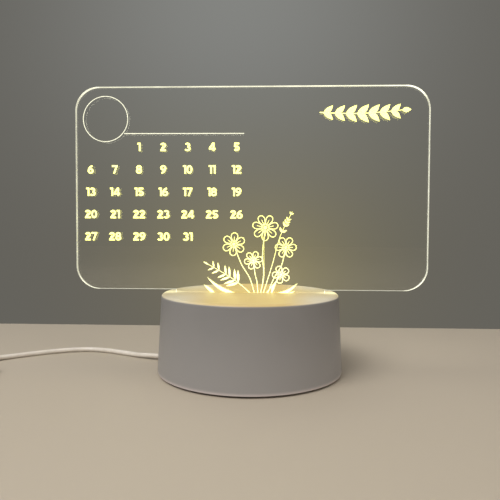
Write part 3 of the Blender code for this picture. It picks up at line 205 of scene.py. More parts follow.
class ShaderNodes(Nodes):
    """The nodes that finishes and the world are made of."""

    prefix = "ShaderNode"

    def place(self):
        return self.node("TexCoord").outputs["Object"]

    def parts(self, vector):
        return self.node("SeparateXYZ", {"Vector": vector}).outputs

    def math(self, operation, first, second=0.0, third=0.0):
        made = self.node("Math", operation=operation)
        for socket, value in zip(made.inputs, (first, second, third)):
            self.feed(socket, value)
        return made.outputs[0]

    def times(self, first, second):
        return self.math("MULTIPLY", first, second)

    def fade(self, away, rate):
        """One where nothing is away, and less and less further out."""
        return self.math("EXPONENT", self.times(away, -rate))

    def ramp(self, value, start, end, low=0.0, high=1.0):
        """Smooth step of a value from low at start to high at end."""
        inputs = {"Value": value, "From Min": start, "From Max": end, "To Min": low, "To Max": high}
        return self.node("MapRange", inputs, interpolation_type="SMOOTHSTEP").outputs["Result"]

    def distance(self, first, second, core=0.0):
        """How far a place is from the middle, by its two parts; the core rounds the peak there."""
        squares = self.math("MULTIPLY_ADD", first, first, self.times(second, second))
        return self.math("SQRT", self.math("ADD", squares, core**2))

    def noise(self, scale, detail, vector=None):
        inputs = {"Scale": scale, "Detail": detail, "Vector": vector or self.place()}
        return self.node("TexNoise", inputs).outputs["Fac"]

    def mix(self, share, first, second):
        made = self.node("Mix", data_type="RGBA")
        for name, value in (("Factor", share), ("A", first), ("B", second)):
            self.feed(next(socket for socket in made.inputs if socket.name == name and socket.enabled), value)
        return next(socket for socket in made.outputs if socket.enabled)

    def seen_rays(self):
        """One for rays from the camera and those that gloss and glass send on, else zero."""
        path = self.node("LightPath").outputs
        seen = self.math("MAXIMUM", path["Is Camera Ray"], path["Is Glossy Ray"])
        return self.math("MAXIMUM", seen, path["Is Transmission Ray"])


class Finish(ShaderNodes):
    """A material with its Principled shader."""

    def __init__(self, name, **settings):
        self.material = bpy.data.materials.new(name)
        self.material.use_nodes = True
        super().__init__(self.material.node_tree)
        self.shader = self.tree.nodes["Principled BSDF"]
        self.output = self.tree.nodes["Material Output"]
        self.set(**settings)

    def set(self, **settings):
        """Feeds the shader's inputs, by their names in small letters."""
        for name, value in settings.items():
            self.feed(self.shader.inputs[name.replace("_", " ").title().replace("Ior", "IOR")], value)
        return self

    def bump(self, height, strength, distance):
        inputs = {"Height": height, "Strength": strength, "Distance": distance}
        self.feed(self.shader.inputs["Normal"], self.node("Bump", inputs).outputs["Normal"])
        return self

    def grain(self, scale, detail, strength, height):
        """A fine bump all over. Its noise is given back, for the colour or the roughness to follow."""
        fine = self.noise(scale, detail)
        self.bump(fine, strength, height)
        return fine

    def uneven_roughness(self, noise, level, below, above):
        """Roughness that follows a noise round its level."""
        return self.set(roughness=self.ramp(noise, *NOISE_SPAN, level - below, level + above))

    def hidden_from_shadows(self):
        """Lets light through clear plastic, as a thin sheet does."""
        light_path = self.node("LightPath").outputs["Is Shadow Ray"]
        clear = self.node("BsdfTransparent").outputs["BSDF"]
        made = self.node("MixShader", {"Fac": light_path, 1: self.shader.outputs["BSDF"], 2: clear})
        self.feed(self.output.inputs["Surface"], made.outputs["Shader"])
        return self


# Finishes


# A span or reach is where a ramp starts and ends, with its levels there if they aren't 0 and 1
NOISE_SPAN = (0.3, 0.7)
SHADE_SPAN = (0.35, 0.65)

# Grain: scale and detail of its noise, strength and height of its bump
MOULDED_GRAIN = (5200.0, 2.0, 0.22, 0.000025)
JACKET_GRAIN = (2600.0, 2.0, 0.15, 0.00002)
RUBBER_GRAIN = (900.0, 4.0, 0.3, 0.00005)
SMALL_GRAIN = (1500.0, 3.0, 0.2, 0.00002)

# Shade: scale and detail of the noise that a colour or a light follows
MOULDED_SHADE = (38.0, 2.0)
JACKET_SHADE = (160.0, 3.0)
MASK_SHADE = (700.0, 3.0)
EDGE_SHADE = (60.0, 2.0)
FROST_SHADE = (900.0, 2.0)

# Unevenness: the darker places' share of a colour, and how far roughness goes below and above its level
MOULDED_DARKER = 0.955
SMALL_DARKER = 0.9
MOULDED_UNEVEN = (0.05, 0.07)
BRUSHED_UNEVEN = (0.03, 0.05)

# Housing: its plastic, painted light that makes it lighter towards its foot, a painted highlight along its
# lower edge, and the lamp's light on its top round the slot, painted in as a glow
HOUSING_PLASTIC = (srgb(127, 125, 124), 0.42)
HOUSING_FOOT_PAINTED_LIGHT = srgb(142, 139, 137)
HOUSING_EDGE_PAINTED_HIGHLIGHT = srgb(182, 172, 169)
HOUSING_EDGE_HIGHLIGHT_HEIGHTS = (0.0024, 0.0003)
GLOW_TINT = srgb(158, 146, 112)
GLOW_LIGHT = (0.28, 0.174, 0.038, 1.0)
GLOW_SIDE_LIGHT = (0.315, 0.258, 0.147, 1.0)
GLOW_RIM_LIGHT = (0.35, 0.33, 0.28, 1.0)
GLOW_END_LIGHT = (0.80, 0.75, 0.42, 1.0)
GLOW_DEPTHS = (0.0017, 0.0008)
GLOW_OUTWARDS = (0.018, 0.046)
GLOW_OFF_SLOT = (0.008, 0.035)
GLOW_SPREAD = (0.024, 0.062, 1.0, 0.72)
GLOW_UNEVEN = (0.93, 1.15)
SLOT_END = 0.0555
END_GLOW_REACH = (0.0010, 0.0140, 1.0, 0.0)
END_GLOW_DEPTHS = (0.0026, 0.0010)
SLOT_LINE_Y = -0.0027
SLOT_LINE_WIDTH = 0.0009
SLOT_LINE_ENDS = (0.046, 0.054, 1.0, 0.0)
SLOT_LINE_LIGHT = 0.35
RIM_HIGHLIGHT_DEPTHS = (0.0010, 0.0002)
RIM_HIGHLIGHT_LIGHT = 0.10

# Acrylic sheet: the haze over the base, and the light that leaves at its sawn edge; of two lights, left first
ACRYLIC_COLOUR = (0.985, 0.99, 0.98, 1.0)
ACRYLIC_IOR = 1.49
HAZE_LIGHT = (1.0, 0.85, 0.18, 1.0)
HAZE_STRENGTH = 0.075
HAZE_FADE = 25.0
HAZE_WIDTH_SHARE = 0.85
HAZE_CORE = 0.015
EDGE_COLOUR = (0.42, 0.42, 0.38, 1.0)
EDGE_LIGHT = (1.0, 0.98, 0.74, 1.0)
EDGE_TOP_LIGHTS = (0.748, 1.1)
EDGE_SIDE_LIGHTS = (0.51, 0.45)
EDGE_FOOT_LIGHT = (0.24, 0.24, 0.24, 1.0)
EDGE_TAB_LIGHT = 0.70
EDGE_CORNER_LIGHT = 0.40
EDGE_SIDE_SPAN = (0.0060, 0.0005)
EDGE_CORNER_SPAN = (0.0165, 0.0150)
EDGE_FOOT_SPAN = (0.0005, 0.0100, 1.0, 0.0)
EDGE_TAB_SPAN = (0.0004, 0.0001)
EDGE_UNEVEN = (0.85, 1.15)

# Engraving: its light and strengths outwards and inwards; close over the lamps it is lit whiter
FROST = ((1.0, 0.96, 0.22, 1.0), 2.3, 3.8)
FAINT_FROST = ((1.0, 0.99, 0.74, 1.0), 1.0, 3.2)
FROST_COLOUR = (0.26, 0.25, 0.21, 1.0)
FROST_INWARDS = (0.4, 0.6)
FROST_LOW_LIGHT = (1.0, 0.96, 0.36, 1.0)
FROST_LOW_SPAN = (SHEET_FOOT + 0.032, SHEET_FOOT + 0.012)
FROST_UNEVEN = (0.88, 1.12)

# Lead, feet, lamps and metal
JACKET_COLOURS = (srgb(203, 195, 184), srgb(214, 207, 197))
RUBBER_COLOURS = ((0.018, 0.018, 0.018, 1.0), (0.045, 0.044, 0.043, 1.0))
MASK_COLOURS = (srgb(226, 226, 218), srgb(238, 238, 232))
PHOSPHOR_COLOUR = srgb(245, 214, 96)
PHOSPHOR_LIGHT = (1.0, 0.80, 0.42, 1.0)
PHOSPHOR_STRENGTH = 3.0
BRUSHED_SCALE = (9000.0, 9000.0, 1200.0)
BRUSHED_DETAIL = 3.0
BRUSHED_BUMP = (0.05, 0.000005)


def darker(colour, share):
    """The colour with a share of its light."""
    return (*(channel * share for channel in colour[:3]), 1.0)


def moulded_plastic(name, colour, roughness):
    """Matt moulded ABS: fine spark-eroded grain and a faint unevenness of shade."""
    finish = Finish(name, roughness=roughness, specular_ior_level=0.45)
    shade = finish.ramp(finish.noise(*MOULDED_SHADE), *SHADE_SPAN)
    finish.set(base_color=finish.mix(shade, darker(colour, MOULDED_DARKER), colour))
    return finish.uneven_roughness(finish.grain(*MOULDED_GRAIN), roughness, *MOULDED_UNEVEN)


def housing_finish():
    """The housing's plastic, with painted light: lighter towards its foot, a highlight along its lower edge,
    and the lamp's light on its top round the slot.
    """
    finish = moulded_plastic("housing_plastic", *HOUSING_PLASTIC)
    x, y, z = finish.parts(finish.place())
    along = finish.math("ABSOLUTE", x)

    def below_top(deep, shallow, *levels):
        return finish.ramp(z, BASE_TOP - deep, BASE_TOP - shallow, *levels)

    # Painted light: the lamp's light round the slot, as a warm tint and a glow on the housing's top, with a
    # line of it along the slot and a brighter patch at each end.
    top = below_top(*GLOW_DEPTHS)
    glow = finish.times(top, finish.ramp(along, *GLOW_SPREAD))
    off_line = finish.math("ABSOLUTE", finish.math("SUBTRACT", y, SLOT_LINE_Y))
    slot_line = finish.ramp(off_line, 0.0, SLOT_LINE_WIDTH, 1.0, 0.0)
    slot_line = finish.times(slot_line, finish.ramp(along, *SLOT_LINE_ENDS))
    glow = finish.math("ADD", glow, finish.times(slot_line, SLOT_LINE_LIGHT))
    off_end = finish.distance(finish.math("SUBTRACT", along, SLOT_END), y)
    end_glow = finish.times(finish.ramp(off_end, *END_GLOW_REACH), below_top(*END_GLOW_DEPTHS))

    plain = finish.shader.inputs["Base Color"].links[0].from_socket
    # Painted light: the plastic is made lighter from its top down to its foot.
    plain = finish.mix(finish.ramp(z, SHELL_HIGH.z, SHELL_LOW.z), plain, HOUSING_FOOT_PAINTED_LIGHT)
    # Painted highlight: a lighter band along the housing's lower edge.
    highlight_start, highlight_full = (SHELL_LOW.z + height for height in HOUSING_EDGE_HIGHLIGHT_HEIGHTS)
    plain = finish.mix(finish.ramp(z, highlight_start, highlight_full), plain, HOUSING_EDGE_PAINTED_HIGHLIGHT)
    finish.set(base_color=finish.mix(glow, plain, GLOW_TINT))

    off_slot = finish.ramp(finish.math("ABSOLUTE", y), *GLOW_OFF_SLOT)
    side_light = finish.mix(off_slot, GLOW_SIDE_LIGHT, GLOW_RIM_LIGHT)
    wide_light = finish.mix(finish.ramp(along, *GLOW_OUTWARDS), GLOW_LIGHT, side_light)
    finish.set(emission_color=finish.mix(end_glow, wide_light, GLOW_END_LIGHT))
    # Painted highlight: a thin bright line along the top's rim.
    rim_highlight = finish.times(top, below_top(*RIM_HIGHLIGHT_DEPTHS, RIM_HIGHLIGHT_LIGHT, 0.0))
    strength = finish.math("ADD", finish.math("MAXIMUM", glow, end_glow), rim_highlight)
    uneven = finish.ramp(x, -BASE_RADIUS, BASE_RADIUS, *GLOW_UNEVEN)
    finish.set(emission_strength=finish.times(strength, uneven))
    return finish


def acrylic_finish():
    """Clear cast acrylic, with the faint haze that the light from below leaves in it."""
    finish = Finish("clear_acrylic", base_color=ACRYLIC_COLOUR, roughness=0.0, ior=ACRYLIC_IOR)
    finish.set(transmission_weight=1.0)
    x, _, z = finish.parts(finish.place())
    rise = finish.math("SUBTRACT", z, BASE_TOP)
    away = finish.distance(rise, finish.times(x, HAZE_WIDTH_SHARE), HAZE_CORE)
    haze = finish.times(finish.fade(away, HAZE_FADE), HAZE_STRENGTH)
    finish.set(emission_color=HAZE_LIGHT, emission_strength=haze)
    return finish.hidden_from_shadows()


def acrylic_edge_finish():
    """The sheet's sawn edge, where the light that runs in the sheet comes out."""
    finish = Finish("acrylic_edge", base_color=EDGE_COLOUR, roughness=0.35, ior=ACRYLIC_IOR)
    x, _, z = finish.parts(finish.place())
    away = finish.math("ABSOLUTE", x)
    spans = (EDGE_SIDE_SPAN, EDGE_CORNER_SPAN)
    side, corner = (finish.ramp(away, BOARD_HIGH.x - start, BOARD_HIGH.x - end) for start, end in spans)
    corner = finish.times(corner, finish.math("SUBTRACT", 1.0, side))
    above, full, *levels = EDGE_FOOT_SPAN
    low = finish.ramp(z, SHEET_FOOT + above, SHEET_FOOT + full, *levels)
    flat = finish.mix(low, finish.ramp(x, BOARD_LOW.x, BOARD_HIGH.x, *EDGE_TOP_LIGHTS), EDGE_FOOT_LIGHT)
    even = finish.mix(side, flat, finish.ramp(x, BOARD_LOW.x, BOARD_HIGH.x, *EDGE_SIDE_LIGHTS))
    even = finish.math("MULTIPLY_ADD", corner, EDGE_CORNER_LIGHT, even)
    tab_start, tab_end = (SHEET_FOOT - depth for depth in EDGE_TAB_SPAN)
    even = finish.math("ADD", even, finish.ramp(z, tab_start, tab_end, EDGE_TAB_LIGHT, 0.0))
    uneven = finish.ramp(finish.noise(*EDGE_SHADE), *NOISE_SPAN, *EDGE_UNEVEN)
    finish.set(emission_color=EDGE_LIGHT, emission_strength=finish.times(uneven, even))
    return finish.hidden_from_shadows()


def engraved_finish(name, light, strength, inner_strength):
    """Laser-frosted acrylic, lit through the sheet by the warm white lamps.

    Its side towards the inside of the sheet is the brighter one: the back face reflects it as a second image.
    """
    finish = Finish(name, base_color=FROST_COLOUR, roughness=0.75)
    facing = finish.parts(finish.node("TexCoord").outputs["Normal"])["Y"]
    light_out = finish.ramp(facing, *FROST_INWARDS, strength, inner_strength)
    uneven = finish.ramp(finish.noise(*FROST_SHADE), *NOISE_SPAN, *FROST_UNEVEN)
    low = finish.ramp(finish.parts(finish.place())["Z"], *FROST_LOW_SPAN)
    finish.set(emission_color=finish.mix(low, light, FROST_LOW_LIGHT))
    finish.set(emission_strength=finish.times(uneven, light_out))
    return finish


def lead_finish():
    """The lead's soft PVC jacket."""
    finish = Finish("lead_jacket", roughness=0.36, specular_ior_level=0.5)
    shade = finish.ramp(finish.noise(*JACKET_SHADE), *NOISE_SPAN)
    finish.grain(*JACKET_GRAIN)
    return finish.set(base_color=finish.mix(shade, *JACKET_COLOURS))


def rubber_finish():
    """The feet's dull rubber."""
    finish = Finish("foot_rubber", roughness=0.8)
    return finish.set(base_color=finish.mix(finish.grain(*RUBBER_GRAIN), *RUBBER_COLOURS))


def metal_finish(name, colour, roughness):
    """Plated metal with a faint brushed unevenness."""
    finish = Finish(name, base_color=colour, metallic=1.0)
    brushed = finish.node("Mapping", {"Vector": finish.place(), "Scale": BRUSHED_SCALE})
    streaks = finish.noise(1.0, BRUSHED_DETAIL, brushed.outputs["Vector"])
    finish.uneven_roughness(streaks, roughness, *BRUSHED_UNEVEN)
    return finish.bump(streaks, *BRUSHED_BUMP)


def board_mask_finish():
    """White solder mask on the lamp strip."""
    finish = Finish("strip_mask", roughness=0.4)
    return finish.set(base_color=finish.mix(finish.noise(*MASK_SHADE), *MASK_COLOURS))


def lamp_finish():
    """The lamps' yellow phosphor, lit."""
    finish = Finish("lamp_phosphor", base_color=PHOSPHOR_COLOUR, roughness=0.35)
    return finish.set(emission_color=PHOSPHOR_LIGHT, emission_strength=PHOSPHOR_STRENGTH)


def plain_finish(name, colour, roughness):
    """Small moulded pieces: colour with a fine grain."""
    finish = Finish(name, roughness=roughness)
    fine = finish.grain(*SMALL_GRAIN)
    return finish.set(base_color=finish.mix(fine, darker(colour, SMALL_DARKER), colour))


# Mesh helpers


def new_object(name, data):
    """A new object in the scene."""
    made = bpy.data.objects.new(name, data)
    bpy.context.scene.collection.objects.link(made)
    return made


def add_piece(name, data, finishes, body, replaces=()):
    """Puts a piece in the scene with its materials and body, and hides the CAD nodes that it stands for."""
    piece = new_object(name, data)
    for finish in finishes:
        data.materials.append(finish.material)
    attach(piece, body)
    if replaces:
        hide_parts(*replaces)
    return piece


def mesh_from(name, shape):
    """A mesh from a working shape, shaded smooth but for its sharp edges."""
    bmesh.ops.recalc_face_normals(shape, faces=shape.faces)
    data = bpy.data.meshes.new(name)
    shape.to_mesh(data)
    shape.free()
    data.shade_smooth()
    data.set_sharp_from_angle(angle=SHARP_ANGLE)
    return data


def arc(centre, radius, first, last, steps, up=None):
    """Points on an arc, both ends included; up is its radius upwards, where that is another."""
    points = []
    for step in range(steps + 1):
        angle = first + (last - first) * step / steps
        points.append((centre[0] + radius * math.cos(angle), centre[1] + (up or radius) * math.sin(angle)))
    return points


def mitre(towards, onwards, limit):
    """The way a corner moves when its line is offset, and the cosine that the offset is divided by."""
    towards, onwards = towards.normalized(), onwards.normalized()
    normal = (towards + onwards).orthogonal().normalized()
    return normal, max(normal.dot(towards.orthogonal()), limit)


def inset(outline, distance):
    """The outline moved inwards; it runs anticlockwise."""
    moved = []
    for before, point, after in zip(outline[-1:] + outline[:-1], outline, outline[1:] + outline[:1]):
        towards, onwards = Vector(point) - Vector(before), Vector(after) - Vector(point)
        normal, cosine = mitre(towards, onwards, MITRE_LIMIT)
        moved.append(tuple(Vector(point) + normal * distance / cosine))
    return moved


def join_rings(shape, near, far, material=0):
    """Side faces between two rings of vertices of equal length."""
    for index in range(len(near)):
        after = (index + 1) % len(near)
        face = shape.faces.new((near[index], near[after], far[after], far[index]))
        face.material_index = material


def extrude_rows(shape, rows, side_material=0):
    """Joins rings of equal length, and closes both ends with triangles."""
    rings = [[shape.verts.new(point) for point in row] for row in rows]
    for near, far in zip(rings, rings[1:]):
        join_rings(shape, near, far, side_material)
    caps = [shape.faces.new(list(reversed(rings[0]))), shape.faces.new(rings[-1])]
    bmesh.ops.triangulate(shape, faces=caps)


# Board and engraving


def sheet_outline():
    """The board's outline in X and Z: rounded corners above, and the tab below."""
    radius, half = SHEET_CORNER_RADIUS, BOARD_HIGH.x
    tab, small = SHEET_TAB_HALF_WIDTH, SHEET_TAB_CORNER
    low, high, foot = SHEET_FOOT, BOARD_HIGH.z, BOARD_LOW.z
    quarter = math.pi / 2
    points = arc((tab - small, foot + small), small, -quarter, 0, SHEET_CORNER_STEPS)
    points += [(tab, low)]
    corners = ((half - radius, low + radius), (half - radius, high - radius),
               (radius - half, high - radius), (radius - half, low + radius))
    for turn, centre in enumerate(corners):
        points += arc(centre, radius, (turn - 1) * quarter, turn * quarter, SHEET_ARC_STEPS)
    points += [(-tab, low)]
    points += arc((small - tab, foot + small), small, 2 * quarter, 3 * quarter, SHEET_CORNER_STEPS)
    return points


def build_sheet(face_finish, edge_finish):
    """The clear sheet, with a small arris along both faces."""
    outline = sheet_outline()
    within = inset(outline, SHEET_ARRIS)
    front, back = BOARD_LOW.y, BOARD_HIGH.y
    layers = [(front, within), (front + SHEET_ARRIS, outline), (back - SHEET_ARRIS, outline), (back, within)]
    shape = bmesh.new()
    extrude_rows(shape, [[(x, y, z) for x, z in ring] for y, ring in layers], side_material=1)
    data = mesh_from("board_sheet", shape)
    add_piece("board_sheet", data, [face_finish, edge_finish], "board", ["acrylic_board"])


class Engraving:
    """Strokes and filled outlines in the board's X and Z, as a thin layer under its front face."""

    FRONT = BOARD_LOW.y + ENGRAVING_DEPTH
    BACK = FRONT + ENGRAVING_THICKNESS

    def __init__(self):
        self.pieces = []

    def slab(self, outline):
        """A filled outline."""
        shape = bmesh.new()
        extrude_rows(shape, [[(x, y, z) for x, z in outline] for y in (self.FRONT, self.BACK)])
        self.pieces.append(shape)

    def loop(self, points, width):
        """A closed stroke of even width."""
        shape = bmesh.new()
        outer, inner = inset(points, -width / 2), inset(points, width / 2)
        rows = ((outer, self.FRONT), (inner, self.FRONT), (inner, self.BACK), (outer, self.BACK))
        rings = [[shape.verts.new((x, y, z)) for x, z in outline] for outline, y in rows]
        for near, far in zip(rings, rings[1:] + rings[:1]):
            join_rings(shape, near, far)
        self.pieces.append(shape)

    def stroke(self, points, width, end_width=None):
        """An open stroke with flat ends, which may grow thinner or wider to its end."""
        points = [Vector(point) for point in points]
        end_width = end_width or width
        left, right = [], []
        for index, point in enumerate(points):
            before = points[max(index - 1, 0)]
            after = points[min(index + 1, len(points) - 1)]
            towards = point - before if index else after - point
            onwards = after - point if point != after else towards
            normal, cosine = mitre(towards, onwards, STROKE_MITRE_LIMIT)
            here = width + (end_width - width) * index / (len(points) - 1)
            left.append(tuple(point + normal * here / 2 / cosine))
            right.append(tuple(point - normal * here / 2 / cosine))
        self.slab(right + list(reversed(left)))

    def join(self, name, finish):
        """Joins the overlapping strokes, two or more, into one clean mesh on the board."""
        first, *others = [mesh_from(name, shape) for shape in self.pieces]
        piece = add_piece(name, first, [finish], "board")
        rest = bmesh.new()
        for data in others:
            rest.from_mesh(data)
            bpy.data.meshes.remove(data)
        operand = new_object(name + "_strokes", mesh_from(name + "_strokes", rest))
        union = piece.modifiers.new("union", "BOOLEAN")
        union.operation = "UNION"
        union.solver = "EXACT"
        union.use_self = True
        union.object = operand
        joined = bpy.data.meshes.new_from_object(piece.evaluated_get(bpy.context.evaluated_depsgraph_get()))
        piece.modifiers.clear()
        piece.data = joined
        bpy.data.meshes.remove(first)
        bpy.data.meshes.remove(operand.data)
        joined.name = name


# Numbers of the days, drawn as strokes in a box one unit high
DIGIT_COLUMNS = 7
DIGIT_COLUMN_FIRST = -0.10970
DIGIT_COLUMN_STEP = 0.01670
DIGIT_ROW_FIRST = 0.15220
DIGIT_ROW_STEP = 0.01525
DIGIT_HEIGHT = 0.0057
DIGIT_STROKE_SHARE = 0.205
DIGIT_STRETCH = 1.18
DIGIT_GAP_SHARE = 0.02
DIGIT_WIDTH_SHARES = {"1": 0.42, "4": 0.81}
DIGIT_USUAL_WIDTH_SHARE = 0.75
FIRST_DAY_COLUMN = 2
DAYS = 31


def oval(centre, across, up, first=0.0, last=360.0):
    """Points round an ellipse between two angles in degrees."""
    return arc(centre, across, math.radians(first), math.radians(last), ROUND_STEPS, up)


def digit_strokes(digit):
    """Centre lines of a digit, closed ones first, in shares of its height."""
    foot, head, middle = 0.10, 0.90, 0.32
    if digit == "0":
        return [oval((middle, 0.50), 0.22, 0.40)[:-1]], []
    if digit == "1":
        return [], [[(0.27, 0.0), (0.27, 1.0)], [(0.03, head), (0.27, head)]]
    if digit == "2":
        hook = oval((0.31, 0.69), 0.215, 0.21, 168, -38) + [(0.12, foot)]
        return [], [hook, [(0.03, foot), (0.61, foot)]]
    if digit == "3":
        return [], [oval((0.30, 0.705), 0.195, 0.195, 155, -90), oval((0.30, 0.305), 0.23, 0.205, 90, -155)]
    if digit == "4":
        return [], [[(0.50, 0.0), (0.50, 1.0)], [(0.46, 0.96), (0.09, 0.30)], [(0.03, 0.27), (0.69, 0.27)]]
    if digit == "5":
        bowl = oval((0.31, 0.32), 0.225, 0.22, 128, -152)
        return [], [[(0.12, head), (0.58, head)], [(0.17, 0.98), (0.14, 0.48)], bowl]
    if digit == "7":
        return [], [[(0.03, head), (0.62, head)], [(0.53, 0.93), (0.23, 0.0)]]
    if digit == "8":
        return [oval((middle, 0.715), 0.19, 0.185)[:-1], oval((middle, 0.305), 0.22, 0.205)[:-1]], []
    bowl, tail = oval((middle, 0.32), 0.22, 0.22)[:-1], oval((0.52, 0.32), 0.42, 0.58, 180, 92)
    if digit == "9":
        bowl, tail = ([(2 * middle - x, 1 - y) for x, y in line] for line in (bowl, tail))
    return [bowl], [tail]


def draw_number(engraving, number, centre):
    """Writes a number with its middle on a place of the board."""
    digits = str(number)
    widths = [DIGIT_WIDTH_SHARES.get(digit, DIGIT_USUAL_WIDTH_SHARE) for digit in digits]
    whole = sum(widths) + DIGIT_GAP_SHARE * (len(digits) - 1)
    left = centre[0] - whole * DIGIT_HEIGHT / 2
    foot = centre[1] - DIGIT_HEIGHT / 2
    for digit, width in zip(digits, widths):
        for draw, lines in zip((engraving.loop, engraving.stroke), digit_strokes(digit)):
            for line in lines:
                placed = [(left + x * DIGIT_STRETCH * DIGIT_HEIGHT, foot + y * DIGIT_HEIGHT) for x, y in line]
                draw(placed, DIGIT_STROKE_SHARE * DIGIT_HEIGHT)
        left += (width + DIGIT_GAP_SHARE) * DIGIT_HEIGHT


def build_numbers(finish):
    """The days of a month, in rows of seven."""
    engraving = Engraving()
    for day in range(1, DAYS + 1):
        row, column = divmod(day - 1 + FIRST_DAY_COLUMN, DIGIT_COLUMNS)
        place = (DIGIT_COLUMN_FIRST + column * DIGIT_COLUMN_STEP, DIGIT_ROW_FIRST - row * DIGIT_ROW_STEP)
        draw_number(engraving, day, place)
    engraving.join("engraved_numbers", finish)


RING_CENTRE = (-0.0992, 0.1712)
RING_RADIUS = 0.01555
RING_LINE = 0.00048
RING_STEPS = 96
RULE_START = (-0.0864, 0.1613)
RULE_END = (-0.0044, 0.1612)
RULE_LINE = 0.00054


def build_ring_and_rule(finish):
    """The month's ring and the rule that runs from it."""
    engraving = Engraving()
    engraving.loop(arc(RING_CENTRE, RING_RADIUS - RING_LINE / 2, 0, math.tau, RING_STEPS)[:-1], RING_LINE)
    engraving.stroke([RULE_START, RULE_END], RULE_LINE)
    engraving.join("engraved_ring", finish)


# Sprig in the upper right corner: a bowed stem with leaves in pairs, all drawn from a few sizes
SPRIG_START = (0.0464, 0.1750)
SPRIG_END = (0.1040, 0.1768)
SPRIG_SAG = 0.0016
SPRIG_PAIRS = 7
SPRIG_LEAF_LENGTH = 0.0098
SPRIG_LEAF_WIDTH = 0.0042
SPRIG_LEAF_LEAN = math.radians(38.0)
SPRIG_STEM_WIDTH = 0.0007
SPRIG_BARE_END = 0.35
SPRIG_TAPER = 0.25
SPRIG_WIDEST = 0.45
SPRIG_TIP_LENGTH_SHARE = 0.62
SPRIG_TIP_WIDTH_SHARE = 0.8
SPRIG_TIP_HEADING = 0.05
LEAF_STEPS = 10
LEAF_FULLNESS = 0.85
LEAF_BOW_SHARE = 1 / 6


def leaf_outline(foot, heading, length, width, bow=0.0, steps=LEAF_STEPS):
    """A pointed leaf from its foot, bowed to one side."""
    along = Vector((math.cos(heading), math.sin(heading)))
    across = along.orthogonal()
    sides = []
    for side in (-1, 1):
        edge = []
        for step in range(steps + 1):
            share = step / steps
            half = width / 2 * math.sin(math.pi * share**LEAF_FULLNESS)
            spine = Vector(foot) + along * length * share + across * bow * math.sin(math.pi * share)
            edge.append(tuple(spine + across * side * half))
        sides.append(edge)
    right, left = sides
    return right + list(reversed(left[1:-1]))


def build_sprig(finish):
    """A sprig of leaves with one at its tip."""
    engraving = Engraving()
    start, end = Vector(SPRIG_START), Vector(SPRIG_END)

    def stem_point(share):
        return start + (end - start) * share - Vector((0, SPRIG_SAG)) * math.sin(math.pi * share)

    stem = [stem_point(step / ROUND_STEPS) for step in range(ROUND_STEPS + 1)]
    engraving.stroke(stem, SPRIG_STEM_WIDTH, SPRIG_STEM_WIDTH / 2)
    for pair in range(SPRIG_PAIRS):
        share = (pair + SPRIG_BARE_END) / (SPRIG_PAIRS + 2 * SPRIG_BARE_END)
        size = 1.0 - SPRIG_TAPER * abs(2 * share - 2 * SPRIG_WIDEST)
        length, width = SPRIG_LEAF_LENGTH * size, SPRIG_LEAF_WIDTH * size
        for side in (-1, 1):
            bow = -side * width * LEAF_BOW_SHARE
            engraving.slab(leaf_outline(stem_point(share), side * SPRIG_LEAF_LEAN, length, width, bow))
    length, width = SPRIG_LEAF_LENGTH * SPRIG_TIP_LENGTH_SHARE, SPRIG_LEAF_WIDTH * SPRIG_TIP_WIDTH_SHARE
    engraving.slab(leaf_outline(stem[-2], SPRIG_TIP_HEADING, length, width))
    engraving.join("engraved_sprig", finish)


# Flowers over the base: daisies, a fern frond, an ear of grass and blades
LINE = 0.00050
STEM_WIDTH = 0.00050
GROUND = 0.0520
PETAL_STEPS = 16
DAISY_HEART_SHARE = 0.15
PETAL_START_SHARE = 0.22
PETAL_WIDTH_SHARE = 0.62
PETAL_FOOT_FULLNESS = 0.65
PETAL_MORE_FULLNESS = 0.5
VEIN_SHARES = (0.05, 0.58)
STEM_STEPS = 8
PAIR_TAPER = 0.55
TIP_SHARE = 0.5
SMALL_LEAF_STEPS = 6
# Each daisy: its middle, radius, petals, turn in degrees, and the way of its stem from the ground up
DAISIES = [
    ((0.0102, 0.0975), 0.0088, 7, 12, [(0.0070, GROUND), (0.0094, 0.0650), (0.0084, 0.0790)]),
    ((-0.0112, 0.0862), 0.0078, 6, 25, [(0.0032, GROUND), (-0.0002, 0.0630), (-0.0062, 0.0730)]),
    ((0.0242, 0.0842), 0.0072, 6, 0, [(0.0118, GROUND), (0.0162, 0.0630), (0.0214, 0.0720)]),
    ((0.0022, 0.0752), 0.0062, 6, 10, [(0.0054, GROUND), (0.0048, 0.0600), (0.0034, 0.0660)]),
    ((0.0212, 0.0656), 0.0060, 5, 40, [(0.0106, GROUND), (0.0136, 0.0560), (0.0170, 0.0598)]),
]
FROND_WAY = [(0.0010, GROUND), (-0.0070, 0.0590), (-0.0165, 0.0655), (-0.0300, 0.0730)]
EAR_WAY = [(0.0088, GROUND), (0.0150, 0.0720), (0.0205, 0.0920), (0.0285, 0.1085)]
# The frond and the ear: way, pairs, share of the stem where they start, length, width, and lean in degrees
LEAFED_STEMS = [
    (FROND_WAY, 6, 0.36, 0.0088, 0.0019, 52),
    (EAR_WAY, 5, 0.72, 0.0040, 0.0015, 42),
]
# Each blade of grass: its place along the ground, heading in degrees, length, width and bow
BLADES = [
    (-0.0085, 151, 0.0240, 0.0023, 0.0022),
    (0.0130, 22, 0.0210, 0.0024, -0.0028),
    (0.0160, 10, 0.0150, 0.0020, -0.0016),
    (0.0145, 68, 0.0110, 0.0018, 0.0006),
    (-0.0240, 140, 0.0100, 0.0020, 0.0),
]


def flat_route(way):
    """A smooth stem through its points on the board."""
    return [point.to_2d() for point in smooth_route([(*point, 0.0) for point in way], STEM_STEPS)]


def petal_outline(foot, heading, length, half_width):
    """A rounded petal, wider towards its tip."""
    along = Vector((math.cos(heading), math.sin(heading)))
    across = along.orthogonal()
    points = []
    for step in range(PETAL_STEPS):
        angle = math.tau * step / PETAL_STEPS
        share = (1 - math.cos(angle)) / 2
        half = half_width * math.sin(angle) * (PETAL_FOOT_FULLNESS + PETAL_MORE_FULLNESS * share)
        points.append(tuple(Vector(foot) + along * length * share - across * half))
    return points


